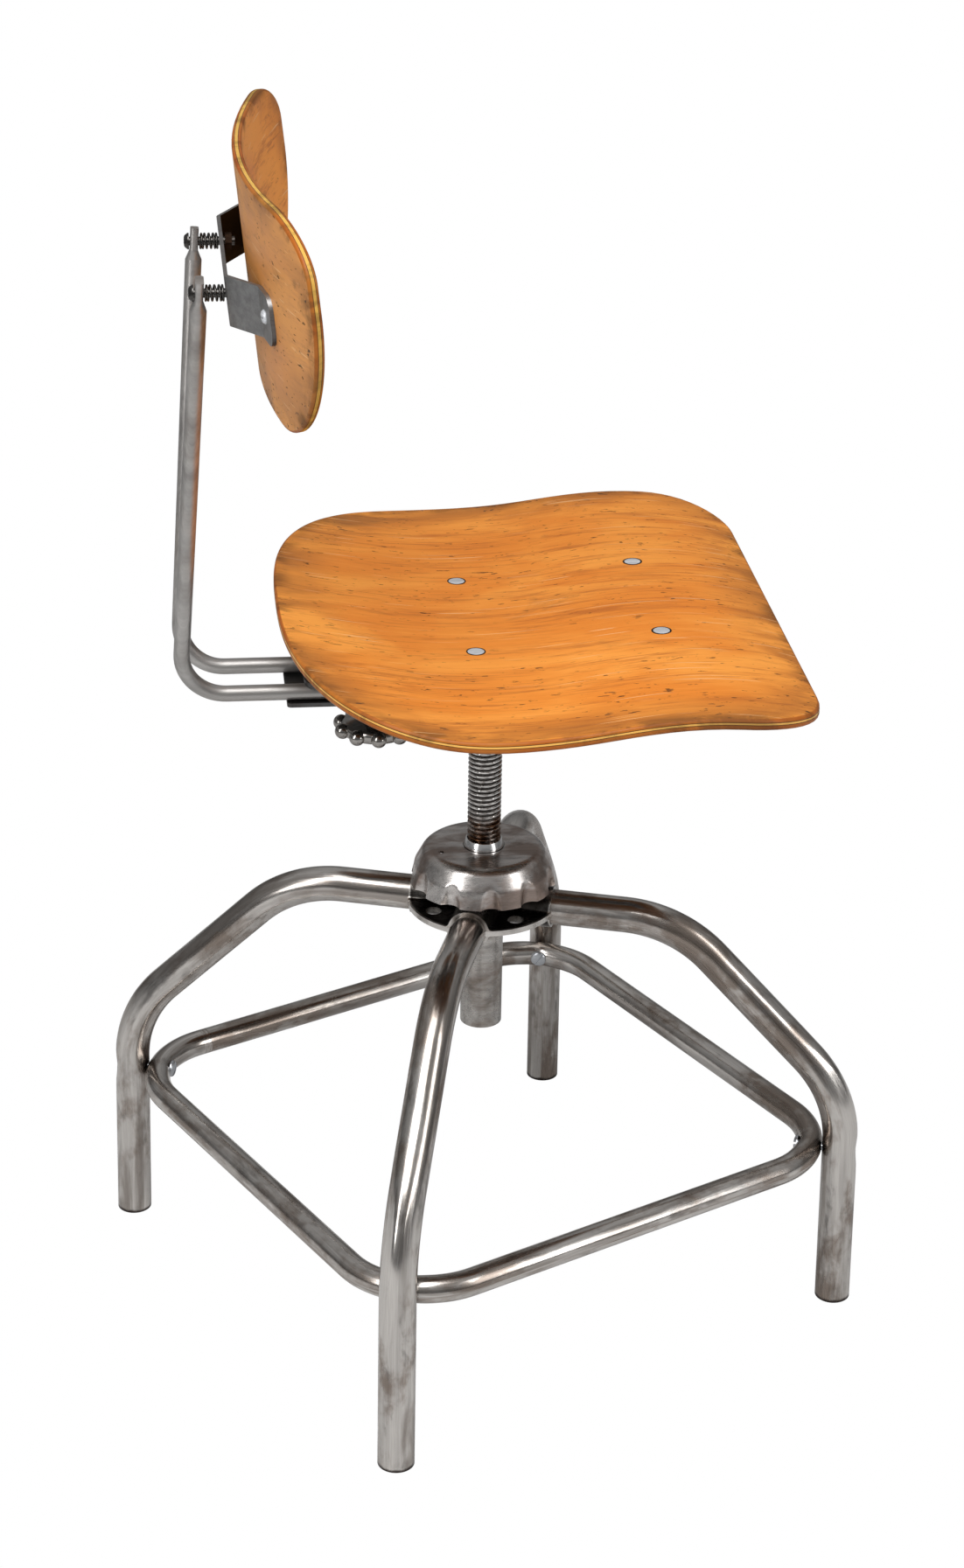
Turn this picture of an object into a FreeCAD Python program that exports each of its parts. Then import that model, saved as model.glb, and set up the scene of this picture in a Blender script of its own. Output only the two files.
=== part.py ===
import FreeCAD, Part
import Sketcher
import math
import os

# Machinist stool. Millimetres, +Z up, the sitter faces -Y, the origin is on
# the floor under the seat post. The most skilled feature is the spring mounted
# backrest: two coil springs on bolts between the rod tips and a bent plate.

V = FreeCAD.Vector
os.makedirs("parts", exist_ok=True)
doc = FreeCAD.newDocument("MachinistStool")
sheet = doc.addObject("Spreadsheet::Sheet", "Sizes")

# Driving sizes
SIZES = [
    ("tube_diameter", 25.4, "leg tube"),
    ("tube_wall", 1.6, "leg tube wall"),
    ("foot_radius", 269.4, "post axis to foot centre"),
    ("leg_splay", 1.067, "lean of the lower leg, degrees"),
    ("leg_azimuth", 72.2, "direction of the rear leg, degrees"),
    ("leg_knee", 171.0, "height of the corner above the foot"),
    ("leg_knee_bend", 95.0, "bend radius of that corner"),
    ("leg_neck_bend", 90.0, "bend radius below the hub"),
    ("leg_end", 18.0, "post axis to the inner end of a leg"),
    ("hub_height", 296.2, "height of the leg ends"),
    ("hub_radius", 54.0, "rim of the hub plates"),
    ("hub_sheet", 2.0, "sheet of the hub plates"),
    ("hub_fit", 0.05, "hub plate to leg"),
    ("hub_boss_radius", 22.0, "centre boss of the hub"),
    ("hub_boss_height", 14.8, "centre boss above the leg ends"),
    ("hub_hole", 11.5, "four through holes"),
    ("hub_hole_radius", 42.0, "post axis to those holes"),
    ("housing_diameter", 30.0, "tube round the screw"),
    ("housing_bore", 26.0, "its bore"),
    ("housing_length", 112.0, "its length below the top of the boss"),
    ("ring_height", 125.0, "footrest centre line"),
    ("ring_diameter", 19.05, "footrest tube"),
    ("ring_wall", 1.6, "footrest tube wall"),
    ("ring_bend", 60.0, "footrest corner"),
    ("ring_flat", 1.0, "depth of the flat under a screw head"),
    ("ring_screw", 6.0, "footrest screw"),
    ("ring_screw_head", 12.5, "its round head"),
    ("race_radius", 22.0, "thrust bearing"),
    ("race_bore", 13.0, "its bore radius"),
    ("race_height", 3.5, "one race"),
    ("ball_diameter", 5.0, "bearing ball"),
    ("ball_count", 16, "bearing balls"),
    ("ball_circle", 17.5, "radius of the ball circle"),
    ("ball_sink", 2.0, "depth of the ball grooves"),
    ("ball_fit", 0.06, "ball to groove"),
    ("screw_diameter", 23.8, "lift screw over the thread"),
    ("screw_fit", 0.1, "screw to nut, radial"),
    ("screw_inset", 6.0, "lower end of the screw above the housing's end"),
    ("stop_height", 6.0, "stop ring on the screw"),
    ("stop_diameter", 25.7, "stop ring"),
    ("stop_fit", 0.03, "stop ring to the screw"),
    ("wheel_lift", 2.0, "hub boss to the rim of the hand wheel"),
    ("wheel_height", 27.0, "rim to the flat top of the hand wheel"),
    ("wheel_radius", 52.4, "radius at the rim"),
    ("wheel_waist", 49.6, "radius where the skirt turns in"),
    ("wheel_waist_height", 7.0, "height of that place over the rim"),
    ("wheel_waist_bend", 10.0, "its bend"),
    ("wheel_flat", 39.5, "radius of the flat top"),
    ("wheel_flat_bend", 6.5, "bend at the edge of the flat top"),
    ("wheel_sheet", 1.8, "sheet of the wheel"),
    ("wheel_hole", 30.0, "centre hole"),
    ("wheel_pin_hole", 4.0, "small hole in the flat top"),
    ("wheel_pin_radius", 33.0, "wheel axis to that hole"),
    ("wheel_pin_azimuth", 108.0, "its direction, degrees"),
    ("flute_count", 11, "finger flutes"),
    ("flute_radius", 9.0, "flute"),
    ("flute_circle", 57.0, "centres of the flutes"),
    ("nut_diameter", 27.0, "sleeve of the lift nut"),
    ("nut_flange", 36.0, "flange of the lift nut"),
    ("nut_chamfer", 2.0, "its upper edge"),
    ("nut_rise", 2.5, "sleeve over the flat top of the wheel"),
    ("nut_foot", 4.0, "height and width of the foot on the bearing"),
    ("seat_height", 516.1, "upper face of the seat over the post"),
    ("board_sheet", 8.0, "seat plywood"),
    ("board_half_width", 216.0, "seat, middle to side"),
    ("board_rear", 146.0, "post axis to the rear edge"),
    ("board_front", 199.0, "post axis to the front edge"),
    ("board_front_half", 214.5, "half width at the front corners"),
    ("board_corner", 60.0, "front corner radius"),
    ("board_power", 2.6, "power of the rear outline"),
    ("bolt_rear", -15.2, "rear seat bolts, forward of the post axis"),
    ("bolt_front", 109.9, "front seat bolts"),
    ("bolt_side", 65.0, "seat bolts, middle to side"),
    ("bolt_diameter", 6.0, "seat bolt"),
    ("bolt_head", 11.6, "its flat head"),
    ("rod_diameter", 11.1, "back rods"),
    ("rod_drop", 43.6, "upper face of the seat to the rods' centre line"),
    ("rod_side", 24.0, "middle to rod under the seat"),
    ("rod_rear", 212.7, "post axis to the upright corner"),
    ("rod_front", -92.0, "front ends of the rods"),
    ("rod_bend", 30.0, "rod bend"),
    ("rod_splay", 7.446, "outward lean of the uprights, degrees"),
    ("rod_lean", 3.563, "forward lean of the uprights, degrees"),
    ("tip_rise", 291.5, "rods under the seat to the bolts in their tips"),
    ("tip_top", 9.0, "tip above the bolt"),
    ("tip_below", 6.0, "flat of the tip below the bolt"),
    ("tip_blend", 6.0, "run over which the bar flattens"),
    ("tip_thick", 5.5, "flattened tip"),
    ("tip_width", 14.0, "flattened tip"),
    ("tie_width", 16.0, "strap between the front ends of the rods"),
    ("tie_sheet", 3.0, "its sheet"),
    ("tie_margin", 10.0, "its end beyond a rod's centre line"),
    ("tie_inset", 9.0, "front ends of the rods to its middle"),
    ("tie_screw", 4.0, "its screws"),
    ("rod_gap", 0.3, "rods to the clamp plates"),
    ("frame_sheet", 3.0, "seat frame"),
    ("frame_margin", 12.0, "its middle plate beyond a rod's centre line"),
    ("frame_rear", 128.0, "post axis to its rear edge"),
    ("arm_width", 30.0, "arms to the seat bolts"),
    ("clamp_margin", 7.0, "lower clamp plate beyond a rod's centre line"),
    ("clamp_rear", 140.0, "its rear edge"),
    ("clamp_front", 18.0, "its front edge"),
    ("clamp_sheet", 3.0, "its sheet"),
    ("knob_back", 77.0, "post axis to the clamp knob"),
    ("knob_neck", 28.55, "top of the knob to the middle of its lobes"),
    ("knob_circle", 25.0, "centres of the knob's lobes"),
    ("knob_lobe", 5.5, "lobe radius"),
    ("knob_lobes", 10, "lobes"),
    ("stud_diameter", 8.0, "clamp stud"),
    ("spring_diameter", 11.0, "backrest spring"),
    ("spring_wire", 1.5, "spring wire"),
    ("spring_turns", 3.25, "turns"),
    ("spring_bend", 1.6, "bend at the ends of the wire"),
    ("spring_length", 13.35, "its length between tip and plate"),
    ("spring_seat", 0.4, "spring to the plate"),
    ("spring_gap", 0.35, "spring to the rod tip"),
    ("head_gap", 0.7, "bolt head to the rod tip"),
    ("back_bolt", 6.0, "backrest bolt"),
    ("back_bolt_head", 11.0, "its slotted head"),
    ("bracket_sheet", 2.6, "backrest plate"),
    ("bracket_height", 33.0, "its height"),
    ("web_half", 72.0, "middle to the bends of its web"),
    ("web_bend", 4.0, "those bends"),
    ("flange_start", 105.0, "middle to the start of a flange"),
    ("flange_end", 134.0, "middle to the end of a flange"),
    ("flange_corner", 10.0, "round of the flange corners"),
    ("flange_fit", 0.05, "flange to the board"),
    ("board_screw_side", 118.0, "middle to the board screws"),
    ("back_tilt", 6.0, "tilt of the backrest, degrees"),
    ("back_stand", 21.645, "rear of the plate to the front of the backrest"),
    ("back_rise", 3.1, "bolts to the middle of the backrest"),
    ("back_bow", 725.0, "bow of the backrest"),
    ("back_sheet", 6.6, "backrest plywood"),
    ("back_half_height", 74.0, "half height"),
    ("back_half_width", 215.2, "half width"),
    ("back_low_extra", 0.9, "half width gained at the lower corners"),
    ("back_top_across", 66.0, "upper corners, across"),
    ("back_top_down", 34.0, "upper corners, down"),
    ("back_low_across", 100.0, "lower corners, across"),
    ("back_low_up", 94.0, "lower corners, up"),
]

for index, (alias, number, meaning) in enumerate(SIZES, start=1):
    sheet.set("A%d" % index, meaning)
    sheet.set("B%d" % index, str(number))
    sheet.setAlias("B%d" % index, alias)
doc.recompute()


class FromSheet:
    """Reads the driving sizes back from the sheet by their alias."""

    def __getattr__(self, alias):
        return float(sheet.get(alias))


d = FromSheet()


# Helpers for bodies and sketches
def new_body(label):
    body = doc.addObject("PartDesign::Body", label)
    body.Label = label
    return body


def new_sketch(body, name, role, lift=None):
    sketch = body.newObject("Sketcher::SketchObject", name)
    plane = next(f for f in body.Origin.OriginFeatures if f.Role == role)
    sketch.AttachmentSupport = [(plane, "")]
    sketch.MapMode = "FlatFace"
    if lift is not None:
        sketch.setExpression("AttachmentOffset.Base.z", lift)
    return sketch


def circle(sketch, across, up, radius):
    """Adds a circle whose centre and radius follow expressions."""
    x, y, r = (float(sketch.evalExpression(e)) for e in (across, up, radius))
    item = sketch.addGeometry(Part.Circle(V(x, y, 0), V(0, 0, 1), r))
    for kind, value, rule in (("X", x, across), ("Y", y, up)):
        number = sketch.addConstraint(
            Sketcher.Constraint("Distance" + kind, -1, 1, item, 3, value))
        sketch.setExpression("Constraints[%d]" % number, rule)
    number = sketch.addConstraint(Sketcher.Constraint("Radius", item, r))
    sketch.setExpression("Constraints[%d]" % number, radius)


def outline(points, radii=None, closed=True):
    """Lines through the points, with an arc at each corner that has a radius."""
    count = len(points)
    radii = radii or [0] * count
    stops = []
    for i, (point, radius) in enumerate(zip(points, radii)):
        if radius == 0 or (not closed and i in (0, count - 1)):
            stops.append((point, None, point))
            continue
        back = (points[i - 1] - point).normalize()
        ahead = (points[(i + 1) % count] - point).normalize()
        half = back.getAngle(ahead) / 2
        middle = (back + ahead).normalize()
        run = radius / math.tan(half)
        centre = point + middle * (radius / math.sin(half))
        stops.append((point + back * run, centre - middle * radius, point + ahead * run))
    shapes = []
    for i, (start, bulge, end) in enumerate(stops):
        if bulge is not None:
            shapes.append(Part.Arc(start, bulge, end))
        if closed or i < count - 1:
            following = stops[(i + 1) % count][0]
            if (following - end).Length > 1e-6:
                shapes.append(Part.LineSegment(end, following))
    return shapes


def flat(*pairs):
    return [V(x, y, 0) for x, y in pairs]


def sketch_geometry(sketch, shapes):
    for shape in shapes:
        sketch.addGeometry(shape)


def pad(body, sketch, length, both=False, down=False):
    feature = body.newObject("PartDesign::Pad", sketch.Name + "_pad")
    feature.Profile = sketch
    feature.setExpression("Length", length)
    feature.Midplane = both
    feature.Reversed = down
    sketch.Visibility = False
    doc.recompute()
    return feature


def pocket(body, sketch, both=True, down=False, length=None):
    """Cuts with a sketch, through everything unless a length is given."""
    before = body.Shape.Volume
    feature = body.newObject("PartDesign::Pocket", sketch.Name + "_cut")
    feature.Profile = sketch
    if length is None:
        feature.Type = 1
    else:
        feature.setExpression("Length", length)
    feature.Midplane = both
    feature.Reversed = down
    sketch.Visibility = False
    doc.recompute()
    if not feature.Shape.Volume < before - 1e-3:
        raise ValueError(sketch.Name + " cuts nothing")
    return feature


def revolve(body, sketch, axis="V_Axis"):
    feature = body.newObject("PartDesign::Revolution", sketch.Name + "_turn")
    feature.Profile = sketch
    feature.ReferenceAxis = (sketch, [axis])
    feature.Angle = 360
    sketch.Visibility = False
    doc.recompute()
    return feature


def polar(body, feature, count, plane="Z_Axis"):
    pattern = body.newObject("PartDesign::PolarPattern", feature.Name + "_round")
    axis = next(f for f in body.Origin.OriginFeatures if f.Role == plane)
    pattern.Originals = [feature]
    pattern.Axis = (axis, [""])
    pattern.Angle = 360
    pattern.setExpression("Occurrences", count)
    body.Tip = pattern
    doc.recompute()
    return pattern


def turned(label, profile):
    """A body turned from a closed outline of (radius, height) points."""
    body = new_body(label)
    sketch = new_sketch(body, label + "_profile", "XZ_Plane")
    sketch_geometry(sketch, profile)
    revolve(body, sketch)
    return body


def grouped(label, solids):
    """Identical fasteners as one object of separate solids."""
    item = doc.addObject("Part::Feature", label)
    item.Label = label
    item.Shape = Part.makeCompound(solids)
    return item


def solid_of_turn(profile, base, axis):
    """A turned solid from (radius, height) pairs, set with its axis in space."""
    face = Part.Face(Part.Wire([s.toShape() for s in outline([V(x, 0, z) for x, z in profile])]))
    solid = face.revolve(V(0, 0, 0), V(0, 0, 1), 360)
    solid.Placement = FreeCAD.Placement(base, FreeCAD.Rotation(V(0, 0, 1), axis))
    return solid


def hexagon(half_flats):
    """Corners of a hexagon from half its width over the flats."""
    reach = half_flats / math.cos(math.pi / 6)
    return [V(reach * math.cos(k * math.pi / 3), reach * math.sin(k * math.pi / 3), 0) for k in range(6)]


def hexagon_nut(half_flats, height, bore):
    """A hexagon nut that stands on the origin."""
    corners = hexagon(half_flats)
    nut = Part.Face(Part.makePolygon(corners + corners[:1])).extrude(V(0, 0, height))
    return nut.cut(Part.makeCylinder(bore, height))


# Shared heights
foot_lean = math.tan(math.radians(d.leg_splay))
hub_upper_face = d.hub_height + d.hub_boss_height
race_top = hub_upper_face + 2 * (d.race_height - d.ball_sink) + d.ball_diameter
wheel_bottom = hub_upper_face + d.wheel_lift
wheel_top = wheel_bottom + d.wheel_height
rod_height = d.seat_height - d.rod_drop
frame_bottom = rod_height + d.rod_diameter / 2 + d.rod_gap
frame_top = frame_bottom + d.frame_sheet
clamp_top = rod_height - d.rod_diameter / 2 - d.rod_gap
HOUSING_END = "Sizes.hub_height + Sizes.hub_boss_height - Sizes.housing_length"
SCREW_END = HOUSING_END + " + Sizes.screw_inset"


def leg_radius_at(height):
    """Distance from the post axis to the centre line of the lower leg."""
    return d.foot_radius - foot_lean * height


# Legs: one bent tube, four times round the post
knee = V(leg_radius_at(d.leg_knee), d.leg_knee, 0)
neck = V(knee.x + knee.y - d.hub_height, d.hub_height, 0)
for index, name in enumerate(("leg_rear", "leg_right", "leg_front", "leg_left")):
    leg = new_body(name)
    run = new_sketch(leg, name + "_path", "XZ_Plane")
    corners = [V(d.foot_radius, 0, 0), knee, neck, V(d.leg_end, d.hub_height, 0)]
    bends = [0, d.leg_knee_bend, d.leg_neck_bend, 0]
    sketch_geometry(run, outline(corners, bends, closed=False))
    section = new_sketch(leg, name + "_section", "XY_Plane")
    circle(section, "Sizes.foot_radius", "0", "Sizes.tube_diameter / 2")
    circle(section, "Sizes.foot_radius", "0", "Sizes.tube_diameter / 2 - Sizes.tube_wall")
    pipe = leg.newObject("PartDesign::AdditivePipe", name + "_tube")
    pipe.Profile = section
    pipe.Spine = (run, [])
    doc.recompute()
    hole = new_sketch(leg, name + "_hole", "YZ_Plane")
    circle(hole, "0", "Sizes.ring_height", "Sizes.ring_screw / 2 + 0.2")
    pocket(leg, hole, both=False, down=True)
    leg.Placement = FreeCAD.Placement(V(0, 0, 0), FreeCAD.Rotation(V(0, 0, 1), 0))
    leg.setExpression("Placement.Rotation.Angle", "Sizes.leg_azimuth + %d" % (90 * index))

# Hub: a pressed plate over the legs and the same plate turned over below them
hub = new_body("hub_top")
rim = new_sketch(hub, "hub_rim", "XY_Plane", "Sizes.hub_height")
circle(rim, "0", "0", "Sizes.hub_radius")
pad(hub, rim, "Sizes.hub_sheet")
shell_outer = d.tube_diameter / 2 + d.hub_fit + d.hub_sheet
channel_root = 3.0
root_rise = d.hub_sheet + channel_root
root_side = math.sqrt((shell_outer + channel_root) ** 2 - root_rise ** 2)
channel_half = shell_outer + 0.75 * channel_root
reach = shell_outer / (shell_outer + channel_root)
channel_points = flat((-root_side, 0), (-root_side, d.hub_sheet))
touch = V(-root_side * reach, root_rise * reach, 0)
sag = V(-root_side, root_rise, 0) + (V(0.35, -0.94, 0)).normalize() * channel_root
for direction, name in (("YZ_Plane", "x"), ("XZ_Plane", "y")):
    channel = new_sketch(hub, "hub_channel_" + name, direction)
    channel.setExpression("AttachmentOffset.Base.y", "Sizes.hub_height")
    mirrored = [V(-p.x, p.y, 0) for p in (channel_points[0], channel_points[1], sag, touch)]
    sketch_geometry(channel, [
        Part.LineSegment(channel_points[0], channel_points[1]),
        Part.Arc(channel_points[1], sag, touch),
        Part.Arc(touch, V(0, shell_outer, 0), mirrored[3]),
        Part.Arc(mirrored[3], mirrored[2], mirrored[1]),
        Part.LineSegment(mirrored[1], mirrored[0]),
        Part.LineSegment(mirrored[0], channel_points[0]),
    ])
    pad(hub, channel, "2 * sqrt(Sizes.hub_radius ^ 2 - %.4f ^ 2)" % channel_half, both=True)
boss = new_sketch(hub, "hub_boss", "XZ_Plane")
boss_points = flat((0, d.hub_height), (d.hub_boss_radius + 4, d.hub_height),
                   (d.hub_boss_radius, hub_upper_face), (0, hub_upper_face))
sketch_geometry(boss, outline(boss_points, [0, 0, 3, 0]))
revolve(hub, boss)
hollow = new_sketch(hub, "hub_hollow", "XZ_Plane")
hollow_points = flat((0, d.hub_height), (d.hub_boss_radius + 1.4, d.hub_height),
                     (d.hub_boss_radius - 2.2, hub_upper_face - 2), (0, hub_upper_face - 2))
sketch_geometry(hollow, outline(hollow_points))
groove = hub.newObject("PartDesign::Groove", "hub_hollow_cut")
groove.Profile = hollow
groove.ReferenceAxis = (hollow, ["V_Axis"])
groove.Angle = 360
doc.recompute()
for direction, name in (("YZ_Plane", "x"), ("XZ_Plane", "y")):
    bed = new_sketch(hub, "hub_bed_" + name, direction)
    circle(bed, "0", "Sizes.hub_height", "Sizes.tube_diameter / 2 + Sizes.hub_fit")
    pocket(hub, bed)
centre_hole = new_sketch(hub, "hub_centre", "XY_Plane")
circle(centre_hole, "0", "0", "Sizes.housing_diameter / 2 + Sizes.hub_fit")
pocket(hub, centre_hole)
corner_holes = new_sketch(hub, "hub_holes", "XY_Plane")
for sign_x, sign_y in ((1, 1), (-1, 1), (-1, -1), (1, -1)):
    circle(corner_holes, "%d * Sizes.hub_hole_radius * sqrt(0.5)" % sign_x,
           "%d * Sizes.hub_hole_radius * sqrt(0.5)" % sign_y, "Sizes.hub_hole / 2")
pocket(hub, corner_holes)
hub.Placement = FreeCAD.Placement(V(0, 0, 0), FreeCAD.Rotation(V(0, 0, 1), 0))
hub.setExpression("Placement.Rotation.Angle", "Sizes.leg_azimuth")
doc.recompute()
hub_lower = doc.addObject("Part::Mirroring", "hub_bottom")
hub_lower.Label = "hub_bottom"
hub_lower.Source = hub
hub_lower.Normal = V(0, 0, 1)
hub_lower.Base = V(0, 0, d.hub_height)

# Housing tube of the lift screw
housing = new_body("housing_tube")
bore = new_sketch(housing, "housing_section", "XY_Plane", HOUSING_END)
circle(bore, "0", "0", "Sizes.housing_diameter / 2")
circle(bore, "0", "0", "Sizes.housing_bore / 2")
pad(housing, bore, "Sizes.housing_length")

# Footrest ring: closed tube, its corners touch the legs
ring_corner = leg_radius_at(d.ring_height) - (d.tube_diameter + d.ring_diameter) / 2
ring_side = ring_corner / math.sqrt(2) + d.ring_bend * (1 - math.sqrt(0.5))
footrest = new_body("footrest_ring")
loop = new_sketch(footrest, "footrest_path", "XY_Plane", "Sizes.ring_height")
loop_points = flat((ring_side, 0), (ring_side, ring_side), (-ring_side, ring_side),
                   (-ring_side, -ring_side), (ring_side, -ring_side))
sketch_geometry(loop, outline(loop_points, [0] + [d.ring_bend] * 4))
section = new_sketch(footrest, "footrest_section", "XZ_Plane")
circle(section, "%.6f" % ring_side, "Sizes.ring_height", "Sizes.ring_diameter / 2")
pipe = footrest.newObject("PartDesign::AdditivePipe", "footrest_tube")
pipe.Profile = section
pipe.Spine = (loop, [])
doc.recompute()
inside = new_sketch(footrest, "footrest_bore", "XZ_Plane")
circle(inside, "%.6f" % ring_side, "Sizes.ring_height", "Sizes.ring_diameter / 2 - Sizes.ring_wall")
hollow = footrest.newObject("PartDesign::SubtractivePipe", "footrest_hollow")
hollow.Profile = inside
hollow.Spine = (loop, [])
doc.recompute()
if not hollow.Shape.Volume < 0.5 * pipe.Shape.Volume:
    raise ValueError("the footrest tube is not hollow")
footrest.Placement = FreeCAD.Placement(V(0, 0, 0), FreeCAD.Rotation(V(0, 0, 1), 0))
footrest.setExpression("Placement.Rotation.Angle", "Sizes.leg_azimuth - 45")
doc.recompute()
seat_of_head = ring_corner - d.ring_diameter / 2 + d.ring_flat
flats = []
for quarter in range(4):
    turn = d.leg_azimuth + 90 * quarter
    block = Part.makeBox(4, 15, 30, V(seat_of_head - 4, -7.5, d.ring_height - 15))
    hole = Part.makeCylinder(d.ring_screw / 2 + 0.2, 60, V(seat_of_head - 10, 0, d.ring_height), V(1, 0, 0))
    for cutter in (block, hole):
        cutter.rotate(V(0, 0, 0), V(0, 0, 1), turn)
        flats.append(cutter)
cutters = grouped("footrest_flats", flats)
footrest.Label = "footrest_loop"
dimpled = doc.addObject("Part::Cut", "footrest_ring_cut")
dimpled.Base = footrest
dimpled.Tool = cutters
dimpled.Label = "footrest_ring"

# Footrest screws: slotted round heads on the inner side of the ring
screws = []
screw_length = leg_radius_at(d.ring_height) + d.tube_diameter / 2 - 1 - seat_of_head
for quarter in range(4):
    turn = math.radians(d.leg_azimuth + 90 * quarter)
    out = V(math.cos(turn), math.sin(turn), 0)
    head = d.ring_screw_head / 2
    shank = d.ring_screw / 2
    profile = outline([V(0, 0, -3.6), V(head - 2, 0, -3.3), V(head, 0, -0.8), V(head, 0, 0),
                       V(shank, 0, 0), V(shank, 0, screw_length), V(0, 0, screw_length)],
                      [0, 2.5, 0, 0, 0, 0, 0])
    screw = Part.Face(Part.Wire([s.toShape() for s in profile])).revolve(V(0, 0, 0), V(0, 0, 1), 360)
    slot = Part.makeBox(30, 1.4, 1.6, V(-15, -0.7, -3.8))
    screw = screw.cut(slot)
    screw.Placement = FreeCAD.Placement(out * seat_of_head + V(0, 0, d.ring_height),
                                        FreeCAD.Rotation(V(0, 0, 1), out))
    screws.append(screw)
grouped("footrest_screws", screws)

# Thrust bearing under the wheel
groove_radius = d.ball_diameter / 2 + d.ball_fit
ball_height = hub_upper_face + (race_top - hub_upper_face) / 2
half_groove = math.sqrt(groove_radius ** 2 - (ball_height - hub_upper_face - d.race_height) ** 2)
for name, low in (("bearing_lower_race", True), ("bearing_upper_race", False)):
    sign = 1 if low else -1
    level = hub_upper_face if low else race_top
    lip = level + sign * d.race_height
    points = [V(d.race_bore, level, 0), V(d.race_radius, level, 0), V(d.race_radius, lip, 0),
              V(d.ball_circle + half_groove, lip, 0), V(d.ball_circle - half_groove, lip, 0),
              V(d.race_bore, lip, 0)]
    low_point = V(d.ball_circle, ball_height - sign * groove_radius, 0)
    profile = outline(points[:4], closed=False)
    profile.append(Part.Arc(points[3], low_point, points[4]))
    profile += outline([points[4], points[5], points[0]], closed=False)
    turned(name, profile)
balls = []
for number in range(int(d.ball_count)):
    turn = 2 * math.pi * number / d.ball_count
    centre = V(d.ball_circle * math.cos(turn), d.ball_circle * math.sin(turn), ball_height)
    balls.append(Part.makeSphere(d.ball_diameter / 2, centre))
grouped("bearing_balls", balls)

# Hand wheel: a fluted pressing with an even wall
slope = math.atan2(d.wheel_waist - d.wheel_flat, d.wheel_height - d.wheel_waist_height)
top_share = math.tan((math.pi / 2 - slope) / 2)


def wheel_profile(inset):
    """Outline of the wheel's outer form, or of its hollow when inset."""
    top = wheel_top - inset
    bottom = wheel_bottom - inset
    return outline(flat((0, bottom), (d.wheel_radius - inset, bottom),
                        (d.wheel_waist - inset, wheel_bottom + d.wheel_waist_height),
                        (d.wheel_flat - inset * top_share, top), (0, top)),
                   [0, 0, d.wheel_waist_bend - inset, d.wheel_flat_bend - inset, 0])


forms = []
for name, inset in (("wheel_form", 0.0), ("wheel_hollow", d.wheel_sheet)):
    form = turned(name, wheel_profile(inset))
    flute = new_sketch(form, name + "_flute", "XY_Plane", "%.4f - 10" % wheel_bottom)
    flute.addGeometry(Part.Circle(V(-d.flute_circle, 0, 0), V(0, 0, 1), d.flute_radius + inset))
    cut = form.newObject("PartDesign::Pocket", name + "_flute_cut")
    cut.Profile = flute
    cut.Length = 60
    cut.Reversed = True
    doc.recompute()
    polar(form, cut, "Sizes.flute_count")
    forms.append(form)
shell = doc.addObject("Part::Cut", "wheel_shell")
shell.Base = forms[0]
shell.Tool = forms[1]
centre = doc.addObject("Part::Cylinder", "wheel_centre")
centre.setExpression("Radius", "Sizes.wheel_hole / 2")
centre.Height = wheel_top + 10
open_shell = doc.addObject("Part::Cut", "wheel_open_shell")
open_shell.Base = shell
open_shell.Tool = centre
pin_hole = doc.addObject("Part::Cylinder", "wheel_pin_hole")
pin_hole.setExpression("Radius", "Sizes.wheel_pin_hole / 2")
pin_hole.Height = wheel_top + 10
pin_turn = math.radians(d.wheel_pin_azimuth)
pin_hole.Placement.Base = V(d.wheel_pin_radius * math.cos(pin_turn), d.wheel_pin_radius * math.sin(pin_turn), 0)
wheel = doc.addObject("Part::Cut", "handwheel")
wheel.Label = "handwheel"
wheel.Base = open_shell
wheel.Tool = pin_hole

# Lift nut: flange on the bearing, shoulder under the wheel, chamfered sleeve
nut_top = wheel_top + d.nut_rise
nut_bore = d.screw_diameter / 2 + d.screw_fit
nut_seat = wheel_top - d.wheel_sheet
foot_radius = d.nut_flange / 2 + d.nut_foot - 1
turned("lift_nut", outline(flat(
    (nut_bore, race_top), (foot_radius, race_top), (foot_radius, race_top + d.nut_foot),
    (d.nut_flange / 2, race_top + d.nut_foot), (d.nut_flange / 2, nut_seat),
    (d.nut_diameter / 2, nut_seat), (d.nut_diameter / 2, nut_top - d.nut_chamfer),
    (nut_bore + 0.2, nut_top), (nut_bore, nut_top))))

# Lift screw with its stop ring
lift = new_body("lift_screw")
thread = new_sketch(lift, "screw_section", "XY_Plane", SCREW_END + " + Sizes.stop_height")
circle(thread, "0", "0", "Sizes.screw_diameter / 2")
pad(lift, thread, "%.4f - (%s) - Sizes.stop_height" % (frame_bottom, SCREW_END))
spigot = new_sketch(lift, "screw_spigot", "XY_Plane", SCREW_END)
circle(spigot, "0", "0", "Sizes.screw_diameter / 2 - 4")
pad(lift, spigot, "Sizes.stop_height + 1")
stop = new_body("screw_stop")
stop_section = new_sketch(stop, "stop_section", "XY_Plane", SCREW_END)
circle(stop_section, "0", "0", "Sizes.stop_diameter / 2")
circle(stop_section, "0", "0", "Sizes.screw_diameter / 2 - 4 + Sizes.stop_fit")
pad(stop, stop_section, "Sizes.stop_height")

# Seat board: dished front to back, the same across its width. Each pair is a
# share of the way from the post to the rear (-1) or front (1) edge and a rise.
SEAT_LINE = [(-1.0274, 18.0), (-0.8219, 11.9), (-0.5479, 4.9), (-0.274, 0.2), (-0.137, -0.4), (0, 0),
             (0.201, 3.5), (0.402, 9.1), (0.603, 11.5), (0.804, 8.3), (0.9548, 1.7), (1.0201, -2.5)]


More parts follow.
